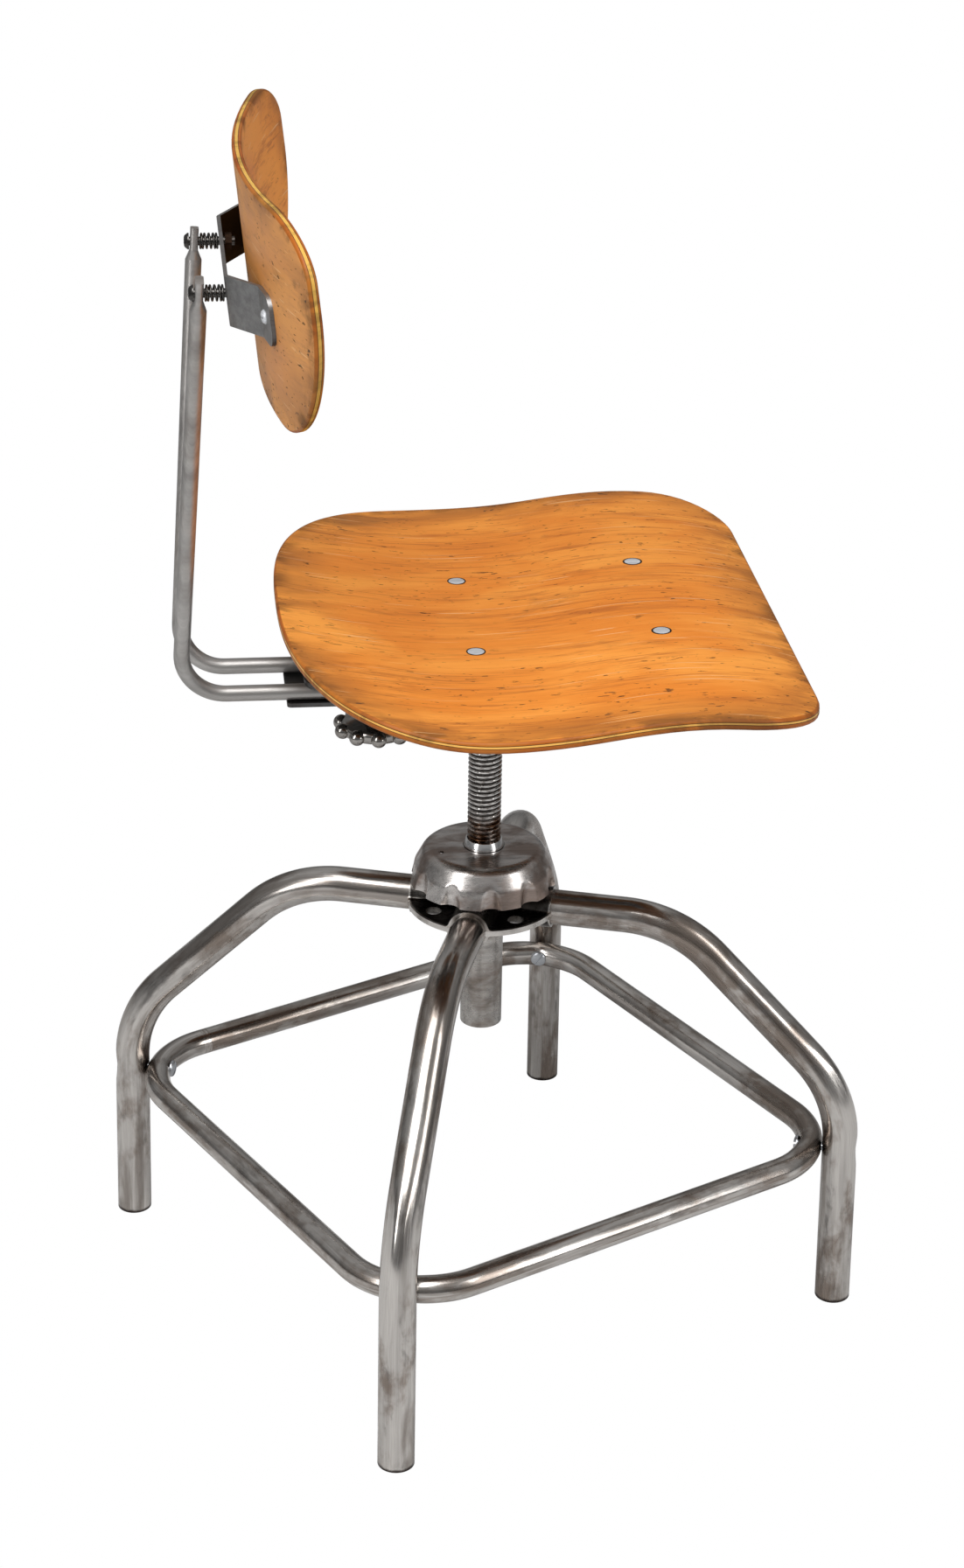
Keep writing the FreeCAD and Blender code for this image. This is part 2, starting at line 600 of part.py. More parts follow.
def seat_line(drop):
    """The dished line of the seat's upper face, or of a face below it."""
    curve = Part.BSplineCurve()
    points = []
    for share, rise in SEAT_LINE:
        depth = d.board_front if share > 0 else d.board_rear
        points.append(V(-share * depth, d.seat_height + rise - drop, 0))
    curve.interpolate(points)
    return curve


board = new_body("seat_board")
side = new_sketch(board, "seat_side", "YZ_Plane")
upper = seat_line(0)
lower = seat_line(d.board_sheet)
sketch_geometry(side, [
    upper, Part.LineSegment(upper.EndPoint, lower.EndPoint),
    lower, Part.LineSegment(lower.StartPoint, upper.StartPoint)])
pad(board, side, "2 * Sizes.board_half_width + 20", both=True)
plan = new_sketch(board, "seat_plan", "XY_Plane")
rear_points = []
for step in range(13):
    turn = math.pi * step / 12
    across = abs(math.cos(turn)) ** (2 / d.board_power) * d.board_half_width
    back = abs(math.sin(turn)) ** (2 / d.board_power) * d.board_rear
    side_x = 0 if step == 6 else math.copysign(across, math.cos(turn))
    rear_points.append(V(side_x, 0 if step in (0, 12) else back, 0))
rear = Part.BSplineCurve()
rear.interpolate(Points=rear_points, InitialTangent=V(0, 1, 0), FinalTangent=V(0, -1, 0))
front_half = d.board_front_half
front_bend = d.board_front - d.board_corner
swing = d.board_corner * math.sqrt(0.5)
border = 300
sketch_geometry(plan, outline(flat((-border, -border), (border, -border), (border, border), (-border, border))))
sketch_geometry(plan, [
    rear,
    Part.LineSegment(rear_points[-1], V(-front_half, -front_bend, 0)),
    Part.Arc(V(-front_half, -front_bend, 0),
             V(-front_half + d.board_corner - swing, -front_bend - swing, 0),
             V(-front_half + d.board_corner, -d.board_front, 0)),
    Part.LineSegment(V(-front_half + d.board_corner, -d.board_front, 0),
                     V(front_half - d.board_corner, -d.board_front, 0)),
    Part.Arc(V(front_half - d.board_corner, -d.board_front, 0),
             V(front_half - d.board_corner + swing, -front_bend - swing, 0),
             V(front_half, -front_bend, 0)),
    Part.LineSegment(V(front_half, -front_bend, 0), rear_points[0]),
])
pocket(board, plan, both=False, down=True)


def height_of_seat(forward):
    """Height of the seat's upper face at a distance forward of the post."""
    line = seat_line(0).toShape()
    probe = Part.makeLine(V(-forward, 400, 0), V(-forward, 600, 0))
    return line.distToShape(probe)[1][0][0].y


bolt_places = [(x, forward) for forward in (d.bolt_rear, d.bolt_front) for x in (-d.bolt_side, d.bolt_side)]
bolt_holes = new_sketch(board, "seat_holes", "XY_Plane")
for sign in (-1, 1):
    for row in ("bolt_rear", "bolt_front"):
        circle(bolt_holes, "%d * Sizes.bolt_side" % sign, "-Sizes.%s" % row, "Sizes.bolt_diameter / 2 + 0.1")
pocket(board, bolt_holes, both=False, down=True)
for row in ("bolt_rear", "bolt_front"):
    level = height_of_seat(getattr(d, row))
    sink = new_sketch(board, "seat_sink_" + row, "XY_Plane", "%.4f - 1.2" % level)
    for sign in (-1, 1):
        circle(sink, "%d * Sizes.bolt_side" % sign, "-Sizes.%s" % row, "Sizes.bolt_head / 2 + 0.5")
    pocket(board, sink, both=False, down=True)

# Seat frame: middle plate over the rods and two pairs of arms up to the board
frame = new_body("seat_frame_form")
plate = new_sketch(frame, "frame_plate", "XY_Plane", "%.4f" % frame_bottom)
arm_half = d.arm_width / 2
frame_half = d.rod_side + d.frame_margin
sketch_geometry(plate, outline(
    flat((-frame_half, -d.bolt_front - arm_half), (frame_half, -d.bolt_front - arm_half),
         (frame_half, d.frame_rear), (-frame_half, d.frame_rear)), [8, 8, 14, 14]))
pad(frame, plate, "Sizes.frame_sheet")
for row in ("bolt_rear", "bolt_front"):
    middle = getattr(d, row)
    pad_level = height_of_seat(middle) - d.board_sheet
    knee_x = frame_half - 6
    foot_x = d.bolt_side - 14
    end_x = d.bolt_side + 13
    thick = d.frame_sheet
    arm = new_sketch(frame, "frame_arm_" + row, "XZ_Plane", "%.4f - Sizes.arm_width / 2" % middle)
    points = flat((-end_x, pad_level + 1), (-foot_x, pad_level + 1), (-knee_x, frame_top),
                  (knee_x, frame_top), (foot_x, pad_level + 1), (end_x, pad_level + 1),
                  (end_x, pad_level - thick), (foot_x + 1.6, pad_level - thick),
                  (knee_x + 1.6, frame_bottom), (-knee_x - 1.6, frame_bottom),
                  (-foot_x - 1.6, pad_level - thick), (-end_x, pad_level - thick))
    sketch_geometry(arm, outline(points))
    pad(frame, arm, "Sizes.arm_width")
holes = new_sketch(frame, "frame_holes", "XY_Plane")
for sign in (-1, 1):
    for row in ("bolt_rear", "bolt_front"):
        circle(holes, "%d * Sizes.bolt_side" % sign, "-Sizes.%s" % row, "Sizes.bolt_diameter / 2 + 0.1")
circle(holes, "0", "Sizes.knob_back", "Sizes.stud_diameter / 2 + 0.3")
pocket(frame, holes, both=False, down=True)
doc.recompute()
seated = doc.addObject("Part::Cut", "seat_frame")
seated.Label = "seat_frame"
seated.Base = frame
seated.Tool = board

# Seat bolts and nuts
bolts = []
nuts = []
for x, forward in bolt_places:
    top = height_of_seat(forward)
    pad_under = top - d.board_sheet - d.frame_sheet
    shank = d.bolt_diameter / 2
    head = d.bolt_head / 2
    bolts.append(solid_of_turn([(0, pad_under - 8), (shank, pad_under - 8), (shank, top - 1.2),
                                (head, top - 1.2), (head, top - 0.1), (head - 1, top + 0.3),
                                (0, top + 0.3)], V(x, -forward, 0), V(0, 0, 1)))
    nut = hexagon_nut(5.0, 5.0, shank)
    nut.Placement = FreeCAD.Placement(V(x, -forward, pad_under - 5), FreeCAD.Rotation())
    nuts.append(nut)
grouped("seat_bolts", bolts)
grouped("seat_nuts", nuts)

# Back rods: bent round bars that splay outward, with flattened tips
splay = math.radians(d.rod_splay)
lean = math.radians(d.rod_lean)
tip_height = rod_height + d.tip_rise
tip_run = d.tip_rise / math.cos(splay) / math.cos(lean)
tip_x = d.rod_side + d.tip_rise * math.tan(splay)
tip_y = d.rod_rear - d.tip_rise / math.cos(splay) * math.tan(lean)
flat_start = tip_run - d.tip_below
blend_start = flat_start - d.tip_blend
upright = V(-math.sin(lean), math.cos(lean), 0)
for name, side_sign in (("back_rod_left", 1), ("back_rod_right", -1)):
    rod = new_body(name)
    run = new_sketch(rod, name + "_path", "YZ_Plane")
    corner = V(d.rod_rear, 0, 0)
    loft_start = corner + upright * blend_start
    sketch_geometry(run, outline([V(d.rod_front, 0, 0), corner, loft_start], [0, d.rod_bend, 0], closed=False))
    section = new_sketch(rod, name + "_section", "XZ_Plane", "-Sizes.rod_front")
    circle(section, "0", "0", "Sizes.rod_diameter / 2")
    pipe = rod.newObject("PartDesign::AdditivePipe", name + "_bar")
    pipe.Profile = section
    pipe.Spine = (run, [])
    doc.recompute()
    lofts = []
    for label, run_up in (("round", blend_start), ("flat", flat_start)):
        spot = corner + upright * run_up
        place = FreeCAD.Placement(V(0, spot.x, spot.y), FreeCAD.Rotation(V(1, 0, 0), d.rod_lean))
        ring_sketch = rod.newObject("Sketcher::SketchObject", name + "_" + label)
        plane = next(f for f in rod.Origin.OriginFeatures if f.Role == "XY_Plane")
        ring_sketch.AttachmentSupport = [(plane, "")]
        ring_sketch.MapMode = "FlatFace"
        ring_sketch.AttachmentOffset = place
        if label == "round":
            half_w, half_t, bend = d.rod_diameter / 2, d.rod_diameter / 2, d.rod_diameter / 2 - 0.01
        else:
            half_w, half_t, bend = d.tip_width / 2, d.tip_thick / 2, d.tip_thick / 2 - 0.4
        box = flat((-half_w, -half_t), (half_w, -half_t), (half_w, half_t), (-half_w, half_t))
        sketch_geometry(ring_sketch, outline(box, [bend] * 4))
        lofts.append(ring_sketch)
    loft = rod.newObject("PartDesign::AdditiveLoft", name + "_flatten")
    loft.Profile = lofts[0]
    loft.Sections = [lofts[1]]
    loft.Ruled = True
    doc.recompute()
    tip = rod.newObject("PartDesign::Pad", name + "_tip")
    tip.Profile = lofts[1]
    tip.setExpression("Length", "Sizes.tip_top + Sizes.tip_below")
    doc.recompute()
    rod.Placement = FreeCAD.Placement(
        V(side_sign * d.rod_side, 0, rod_height), FreeCAD.Rotation(V(0, 1, 0), side_sign * d.rod_splay))
    doc.recompute()
    rod.Label = name + "_bar"
    bolt_bore = doc.addObject("Part::Cylinder", name + "_bore")
    bolt_bore.setExpression("Radius", "Sizes.back_bolt / 2 + 0.35")
    bolt_bore.Height = 40
    bolt_bore.Placement = FreeCAD.Placement(V(side_sign * tip_x, tip_y + 20, tip_height),
                                            FreeCAD.Rotation(V(1, 0, 0), 90))
    drilled = doc.addObject("Part::Cut", name + "_drilled")
    drilled.Base = rod
    drilled.Tool = bolt_bore
    drilled.Label = name + "_tip_drilled"

# Tie strap over the front ends of the rods, with one screw in each
tie = new_body("rod_tie")
tie_y = d.rod_front + d.tie_inset
tie_top = rod_height - d.rod_diameter / 2
tie_half = d.rod_side + d.tie_margin
tie_near, tie_far = tie_y - d.tie_width / 2, tie_y + d.tie_width / 2
strap = new_sketch(tie, "tie_strap", "XY_Plane", "%.4f - Sizes.tie_sheet" % tie_top)
sketch_geometry(strap, outline(
    flat((-tie_half, tie_near), (tie_half, tie_near), (tie_half, tie_far), (-tie_half, tie_far)), [6] * 4))
for sign in (-1, 1):
    circle(strap, "%d * Sizes.rod_side" % sign, "%.4f" % tie_y, "Sizes.tie_screw / 2 + 0.1")
pad(tie, strap, "Sizes.tie_sheet")
tie_screws = []
tie_depth = d.rod_diameter / 2 + 0.4
under = -d.tie_sheet
shank = d.tie_screw / 2
for sign in (-1, 1):
    tie_screws.append(solid_of_turn(
        [(0, under - 2.4), (3.2, under - 2.2), (4.2, under - 0.6), (4.2, under), (shank, under),
         (shank, tie_depth), (0, tie_depth)], V(sign * d.rod_side, tie_y, tie_top), V(0, 0, 1)))
grouped("rod_tie_screws", tie_screws)
for name, sign in (("back_rod_left", 1), ("back_rod_right", -1)):
    drilled = doc.getObject(name + "_drilled")
    pilot = doc.addObject("Part::Cylinder", name + "_pilot")
    pilot.setExpression("Radius", "Sizes.tie_screw / 2 + 0.05")
    pilot.Height = tie_depth
    pilot.Placement = FreeCAD.Placement(V(sign * d.rod_side, tie_y, tie_top), FreeCAD.Rotation())
    last = doc.addObject("Part::Cut", name + "_done")
    last.Base = drilled
    last.Tool = pilot
    last.Label = name

# Rod clamp: lower plate, nut on the seat frame, knob with its stud
plate = new_body("clamp_plate")
under = new_sketch(plate, "clamp_outline", "XY_Plane", "%.4f - Sizes.clamp_sheet" % clamp_top)
clamp_half = d.rod_side + d.clamp_margin
sketch_geometry(under, outline(
    flat((-clamp_half, d.clamp_front), (clamp_half, d.clamp_front),
         (clamp_half, d.clamp_rear), (-clamp_half, d.clamp_rear)), [3] * 4))
circle(under, "0", "Sizes.knob_back", "Sizes.stud_diameter / 2 + 0.3")
pad(plate, under, "Sizes.clamp_sheet")
clamp_nut = new_body("clamp_nut")
nut_height = 0.8 * d.stud_diameter
nut_outline = new_sketch(clamp_nut, "nut_outline", "XY_Plane", "%.4f" % frame_top)
sketch_geometry(nut_outline, outline(hexagon(0.8125 * d.stud_diameter)))
circle(nut_outline, "0", "0", "Sizes.stud_diameter / 2 + 0.05")
pad(clamp_nut, nut_outline, "%.4f" % nut_height)
clamp_nut.Placement = FreeCAD.Placement(V(0, d.knob_back, 0), FreeCAD.Rotation())
knob_top = clamp_top - d.clamp_sheet - d.rod_gap
knob_mid = knob_top - d.knob_neck
stud_end = frame_top + nut_height + 3
stud = new_body("clamp_stud")
stud_section = new_sketch(stud, "stud_section", "XY_Plane", "%.4f" % (knob_mid - 3))
circle(stud_section, "0", "0", "Sizes.stud_diameter / 2")
pad(stud, stud_section, "%.4f" % (stud_end - knob_mid + 3))
stud.Placement = FreeCAD.Placement(V(0, d.knob_back, 0), FreeCAD.Rotation())

knob = new_body("clamp_knob")
core = new_sketch(knob, "knob_core", "XZ_Plane")
sketch_geometry(core, outline(flat(
    (0, knob_mid - 6), (14, knob_mid - 6), (d.knob_circle, knob_mid - 4), (d.knob_circle, knob_mid + 4),
    (12, knob_mid + 7), (9, knob_top - 6), (9, knob_top), (0, knob_top)), [0, 5, 3.9, 3.9, 4, 4, 0, 0]))
revolve(knob, core)
lobe = new_sketch(knob, "knob_lobe", "XZ_Plane")
r = d.knob_lobe
lobe_low, lobe_high = V(d.knob_circle, knob_mid - r, 0), V(d.knob_circle, knob_mid + r, 0)
sketch_geometry(lobe, [Part.Arc(lobe_low, V(d.knob_circle + r, knob_mid, 0), lobe_high),
                       Part.LineSegment(lobe_high, lobe_low)])
ball = knob.newObject("PartDesign::Revolution", "knob_ball")
ball.Profile = lobe
line = new_sketch(knob, "knob_ball_axis", "XZ_Plane")
line.addGeometry(Part.LineSegment(V(d.knob_circle, knob_mid - 20, 0), V(d.knob_circle, knob_mid + 20, 0)))
ball.ReferenceAxis = (line, ["Edge1"])
ball.Angle = 360
doc.recompute()
polar(knob, ball, "Sizes.knob_lobes")
bore = new_sketch(knob, "knob_bore", "XY_Plane", "%.4f" % (knob_mid - 3))
circle(bore, "0", "0", "Sizes.stud_diameter / 2")
pocket(knob, bore, both=False, down=True)
knob.Placement = FreeCAD.Placement(V(0, d.knob_back, 0), FreeCAD.Rotation())

# Backrest plate: web on the bolts, wings forward, flanges along the board
tilt = math.radians(d.back_tilt)
tip_front = tip_y - d.tip_thick / 2
tip_back = tip_y + d.tip_thick / 2
spring_from = tip_front - d.spring_gap
spring_to = spring_from - d.spring_length
plate_rear = spring_to - d.spring_seat
back_front = plate_rear - d.back_stand
back_height = tip_height + d.back_rise
back_turn = FreeCAD.Rotation(V(1, 0, 0), -d.back_tilt)
back_place = FreeCAD.Placement(V(0, back_front, back_height), back_turn)
drop = -d.back_rise / math.cos(tilt)
t = d.bracket_sheet
web_front_depth = d.back_stand * math.cos(tilt) + d.back_rise * math.sin(tilt) - t
web_front = plate_rear - t / math.cos(tilt)
bow_out = d.back_bow + d.back_sheet


def board_back(u, gap=0.0):
    """Local depth of the board's rear face at a distance u from the middle."""
    return bow_out + gap - d.back_bow - ((bow_out + gap) - math.sqrt((bow_out + gap) ** 2 - u ** 2))


flange_middle = (d.flange_start + d.flange_end) / 2
bent = new_body("bracket_strip")
strip = new_sketch(bent, "bracket_bend", "XY_Plane")


def strip_side(lift):
    """One side of the bent strip, from flange end to flange end."""
    gap = d.flange_fit + lift
    bend = d.web_half + lift * 0.25
    right = [V(bend, web_front_depth + lift, 0)]
    right += [V(u, board_back(u, gap), 0) for u in (d.flange_start, flange_middle, d.flange_end)]
    left = [V(-point.x, point.y, 0) for point in reversed(right)]
    return left + right


front_side = strip_side(0.0)
rear_side = strip_side(t)
front_bends = outline(front_side[2:6], [0, d.web_bend, d.web_bend, 0], closed=False)
rear_bends = outline(rear_side[5:1:-1], [0, d.web_bend + t, d.web_bend + t, 0], closed=False)
sketch_geometry(strip, [Part.Arc(*front_side[0:3])])
sketch_geometry(strip, front_bends)
sketch_geometry(strip, [Part.Arc(*front_side[5:8]), Part.LineSegment(front_side[7], rear_side[7]),
                        Part.Arc(rear_side[7], rear_side[6], rear_side[5])])
sketch_geometry(strip, rear_bends)
sketch_geometry(strip, [Part.Arc(rear_side[2], rear_side[1], rear_side[0]),
                        Part.LineSegment(rear_side[0], front_side[0])])
pad(bent, strip, "Sizes.bracket_height", both=True)
corner_cut = new_sketch(bent, "bracket_corners", "XZ_Plane")
sketch_geometry(corner_cut, outline(flat((-200, -60), (200, -60), (200, 60), (-200, 60))))
half_high = d.bracket_height / 2
flange_end = d.flange_end
sketch_geometry(corner_cut, outline(flat((-flange_end, -half_high), (flange_end, -half_high),
                                         (flange_end, half_high), (-flange_end, half_high)),
                                    [d.flange_corner] * 4))
pocket(bent, corner_cut)
bent.Placement = back_place.multiply(FreeCAD.Placement(V(0, 0, drop), FreeCAD.Rotation()))
doc.recompute()
bores = grouped("bracket_bores", [
    Part.makeCylinder(d.back_bolt / 2 + 0.5, 40, V(sign * tip_x, plate_rear + 20, tip_height), V(0, -1, 0))
    for sign in (-1, 1)])


def screw_place(sign):
    """Place of a board screw: its axis is square to the board at the flange."""
    across = d.board_screw_side
    seat = V(sign * across, board_back(across, d.flange_fit + t), drop + 0.5)
    out = V(seat.x, seat.y + d.back_bow, 0).normalize()
    return back_place.multVec(seat), back_turn.multVec(out)


screw_bores = []
board_screws = []
for sign in (-1, 1):
    seat, out = screw_place(sign)
    into = V(-out.x, -out.y, -out.z)
    screw_bores.append(Part.makeCylinder(2.3, t + d.back_sheet - 1, seat - into * 1, into))
    dome = outline([V(0, 0, -2.6), V(3.4, 0, -2.1), V(4.6, 0, -0.4), V(4.6, 0, 0), V(2.2, 0, 0),
                    V(2.2, 0, t + d.back_sheet - 2.5), V(0, 0, t + d.back_sheet - 2.5)],
                   [0, 2.4, 0, 0, 0, 0, 0])
    screw = Part.Face(Part.Wire([s.toShape() for s in dome])).revolve(V(0, 0, 0), V(0, 0, 1), 360)
    screw = screw.cut(Part.makeBox(12, 1.1, 1.2, V(-6, -0.55, -2.8)))
    screw.Placement = FreeCAD.Placement(seat, FreeCAD.Rotation(V(0, 0, 1), into))
    board_screws.append(screw)
grouped("back_screws", board_screws)
screw_cut = grouped("board_screw_bores", screw_bores)
plate_cut = doc.addObject("Part::Cut", "bracket_bolted")
plate_cut.Base = bent
plate_cut.Tool = bores
bracket = doc.addObject("Part::Cut", "back_bracket")
bracket.Label = "back_bracket"
bracket.Base = plate_cut
bracket.Tool = screw_cut

# Backrest board: bowed plywood with round upper and deep lower corners
bow = new_body("back_board_form")
arc = new_sketch(bow, "back_bow", "XY_Plane")
reach = d.back_half_width + 25
near = d.back_bow
swing_near = math.asin(reach / near)
far = bow_out
swing_far = math.asin(reach / far)


def bow_point(radius, angle):
    return V(radius * math.sin(angle), radius * math.cos(angle) - d.back_bow, 0)


sketch_geometry(arc, [
    Part.Arc(bow_point(near, -swing_near), bow_point(near, 0), bow_point(near, swing_near)),
    Part.LineSegment(bow_point(near, swing_near), bow_point(far, swing_near)),
    Part.Arc(bow_point(far, swing_near), bow_point(far, 0), bow_point(far, -swing_near)),
    Part.LineSegment(bow_point(far, -swing_near), bow_point(near, -swing_near))])
pad(bow, arc, "2 * Sizes.back_half_height + 20", both=True)
face = new_sketch(bow, "back_outline", "XZ_Plane")
sketch_geometry(face, outline(flat((-300, -120), (300, -120), (300, 120), (-300, 120))))
wide = d.back_half_width
wide_low = wide + d.back_low_extra
top_u, top_v = d.back_top_across, d.back_top_down
low_u, low_v = d.back_low_across, d.back_low_up
high = d.back_half_height
pieces = []
for sign in (1, -1):
    upper_centre = V(sign * (wide - top_u), high - top_v, 0)
    lower_centre = V(sign * (wide_low - low_u), low_v - high, 0)
    upper_ellipse = Part.Ellipse(upper_centre, top_u, top_v)
    lower_ellipse = Part.Ellipse(lower_centre, low_u, low_v)
    if sign > 0:
        pieces.append(Part.ArcOfEllipse(upper_ellipse, 0, math.pi / 2))
        pieces.append(Part.ArcOfEllipse(lower_ellipse, 1.5 * math.pi, 2 * math.pi))
    else:
        pieces.append(Part.ArcOfEllipse(upper_ellipse, math.pi / 2, math.pi))
        pieces.append(Part.ArcOfEllipse(lower_ellipse, math.pi, 1.5 * math.pi))
    pieces.append(Part.LineSegment(V(sign * wide, high - top_v, 0), V(sign * wide_low, low_v - high, 0)))
pieces.append(Part.LineSegment(V(wide - top_u, high, 0), V(top_u - wide, high, 0)))
pieces.append(Part.LineSegment(V(wide_low - low_u, -high, 0), V(low_u - wide_low, -high, 0)))
sketch_geometry(face, pieces)
pocket(bow, face)
bow.Placement = back_place
doc.recompute()
back = doc.addObject("Part::Cut", "back_board")
back.Label = "back_board"
back.Base = bow
back.Tool = screw_cut

# Backrest bolts: slotted heads behind the tips, nuts in front of the plate
bolt_items = []
nut_items = []
head_seat = tip_back + d.head_gap
for sign in (-1, 1):
    base = V(sign * tip_x, head_seat, tip_height)
    head = d.back_bolt_head / 2
    shank = d.back_bolt / 2
    length = head_seat - web_front + 7.5
    profile = outline([V(0, 0, -3.6), V(head - 1.8, 0, -3.2), V(head, 0, -0.9), V(head, 0, 0),
                       V(shank, 0, 0), V(shank, 0, length), V(0, 0, length)], [0, 2.2, 0, 0, 0, 0, 0])
    bolt = Part.Face(Part.Wire([s.toShape() for s in profile])).revolve(V(0, 0, 0), V(0, 0, 1), 360)
    bolt = bolt.cut(Part.makeBox(14, 1.3, 1.6, V(-7, -0.65, -3.8)))
    bolt.Placement = FreeCAD.Placement(base, FreeCAD.Rotation(V(0, 0, 1), V(0, -1, 0)))
    bolt_items.append(bolt)
    nut = hexagon_nut(5.0, 4.5, shank)
    nut.Placement = FreeCAD.Placement(V(sign * tip_x, web_front - 1.0, tip_height),
                                      FreeCAD.Rotation(V(0, 0, 1), V(0, -1, 0)))
    nut_items.append(nut)
grouped("back_bolts", bolt_items)
grouped("back_nuts", nut_items)

# Springs: one unbroken wire each, between the rod tip and the plate
wire = d.spring_wire
coil_radius = (d.spring_diameter - wire) / 2
span = d.spring_length
coil_span = span - 2 * (wire + d.spring_bend)
climb = coil_span / (d.spring_turns * 2 * math.pi * coil_radius)
axis = V(0, 0, 1)


def helix(share):
    """Point and direction on the coil at a share of its turns."""
    angle = 2 * math.pi * d.spring_turns * share
    point = V(coil_radius * math.cos(angle), coil_radius * math.sin(angle),
              wire + d.spring_bend + coil_span * share)
    along = V(-math.sin(angle), math.cos(angle), climb).normalize()
    return point, along


def arc_from(start, along, end):
    """Arc from a point with a given direction to an end point."""
    chord = end - start
    middle = start + chord * 0.5
    angle = along.getAngle(chord)
    apex = start + along * (chord.Length / 2 / math.cos(angle))
    sagitta = chord.Length / 2 * math.tan(angle / 2)
    return Part.Arc(start, middle + (apex - middle).normalize() * sagitta, end)


def biarc(start, along, end, leaving):
    chord = end - start
    total = along + leaving
    rate = 2 * (1 - along.dot(leaving))
    reach = (-chord.dot(total) + math.sqrt(chord.dot(total) ** 2 + rate * chord.dot(chord))) / rate
    joint = (start + along * reach + end - leaving * reach) * 0.5
    first = arc_from(start, along, joint)
    second = arc_from(end, V(-leaving.x, -leaving.y, -leaving.z), joint)
    return [first, second]


quarters = int(round(d.spring_turns * 4))
start, along = helix(0)
turn_in = along.getAngle(axis)
step = d.spring_bend * math.tan(turn_in / 2)
foot = start - along * step - axis * step
route = [Part.LineSegment(V(foot.x, foot.y, 0), foot), arc_from(foot, axis, start)]
for number in range(quarters):
    one, one_way = helix(number / quarters)
    two, two_way = helix((number + 1) / quarters)
    route += biarc(one, one_way, two, two_way)
end, along = helix(1)
top = end + along * step + axis * step
route.append(arc_from(end, along, top))
route.append(Part.LineSegment(top, V(top.x, top.y, span)))
spring_path = Part.Wire(Part.__sortEdges__([r.toShape() for r in route]))
maker = Part.BRepOffsetAPI.MakePipeShell(spring_path)
maker.add(Part.Wire([Part.makeCircle(wire / 2, V(foot.x, foot.y, 0), axis)]))
maker.build()
maker.makeSolid()
coil = maker.shape()

# Least gap of the wire to itself, on points along its centre line
marks = [helix(i / 400)[0] for i in range(401)]
apart = int(400 / d.spring_turns * 0.5)
least = min((a - b).Length for i, a in enumerate(marks) for b in marks[i + apart:]) - wire
print("least gap of the spring to itself: %.2f mm" % least)
if least < 0.4:
    raise ValueError("spring turns touch")
for name, sign in (("spring_left", 1), ("spring_right", -1)):
    item = doc.addObject("Part::Feature", name)
    item.Label = name
    item.Shape = coil
    item.Placement = FreeCAD.Placement(V(sign * tip_x, spring_to, tip_height),
                                       FreeCAD.Rotation(V(0, 0, 1), V(0, 1, 0)))

doc.recompute()

# Write each piece
NODES = """leg_front leg_right leg_rear leg_left hub_top hub_bottom housing_tube footrest_ring
footrest_screws bearing_lower_race bearing_balls bearing_upper_race handwheel lift_nut lift_screw
screw_stop seat_frame seat_bolts seat_nuts seat_board clamp_plate clamp_nut clamp_knob clamp_stud
back_rod_left back_rod_right rod_tie rod_tie_screws back_bolts back_nuts spring_left spring_right
back_bracket back_board back_screws""".split()
for item in doc.Objects:
    if "Invalid" in item.State or "Error" in item.State:
        raise ValueError("%s is %s" % (item.Label, item.State))
for name in NODES:
    item = next(o for o in doc.Objects if o.Label == name)
    shape = item.Shape
    if shape.isNull() or not shape.isValid():
        raise ValueError(name + " has no valid shape")
    shape.exportStep("parts/%s.step" % name)
    size = shape.BoundBox
    print("%-20s solids %2d volume %9.0f  x %7.1f %7.1f  y %7.1f %7.1f  z %6.1f %6.1f" % (
        name, len(shape.Solids), shape.Volume, size.XMin, size.XMax, size.YMin, size.YMax, size.ZMin, size.ZMax))
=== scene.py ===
"""Machinist stool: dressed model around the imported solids.

Metres, +Z up, the sitter faces -Y, the origin is on the floor under the post.
"""
import logging
import math
from dataclasses import dataclass, field, fields
from enum import Enum
from typing import Any, Callable, Optional, Sequence

import bmesh
import bpy
from mathutils import Matrix, Vector


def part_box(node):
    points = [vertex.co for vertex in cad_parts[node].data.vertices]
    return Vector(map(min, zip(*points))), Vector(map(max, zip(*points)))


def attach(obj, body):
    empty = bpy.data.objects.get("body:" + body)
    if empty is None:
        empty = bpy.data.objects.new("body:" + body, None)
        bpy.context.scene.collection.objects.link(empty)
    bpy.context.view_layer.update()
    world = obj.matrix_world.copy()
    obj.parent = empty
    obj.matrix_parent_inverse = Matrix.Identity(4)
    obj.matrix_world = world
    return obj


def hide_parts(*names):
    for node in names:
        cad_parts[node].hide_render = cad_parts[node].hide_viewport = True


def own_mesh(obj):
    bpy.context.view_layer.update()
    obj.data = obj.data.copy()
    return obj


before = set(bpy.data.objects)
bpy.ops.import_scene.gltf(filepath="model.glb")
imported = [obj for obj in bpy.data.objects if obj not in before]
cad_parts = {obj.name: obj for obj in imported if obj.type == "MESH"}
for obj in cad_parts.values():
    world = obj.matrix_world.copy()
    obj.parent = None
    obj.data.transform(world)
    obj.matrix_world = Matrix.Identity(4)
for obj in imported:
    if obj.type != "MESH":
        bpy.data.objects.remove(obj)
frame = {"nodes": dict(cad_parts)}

LOG = logging.getLogger("stool")
MM = 0.001
Colour = tuple[float, float, float]
Point = tuple[float, float, float]
Outline = list[tuple[float, float]]
Socket = bpy.types.NodeSocket
Piece = bpy.types.Object
Finish = bpy.types.Material
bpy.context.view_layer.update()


class Blend(Enum):
    """How two colours are laid over each other."""

    MIX = "MIX"
    MULTIPLY = "MULTIPLY"


# Node trees


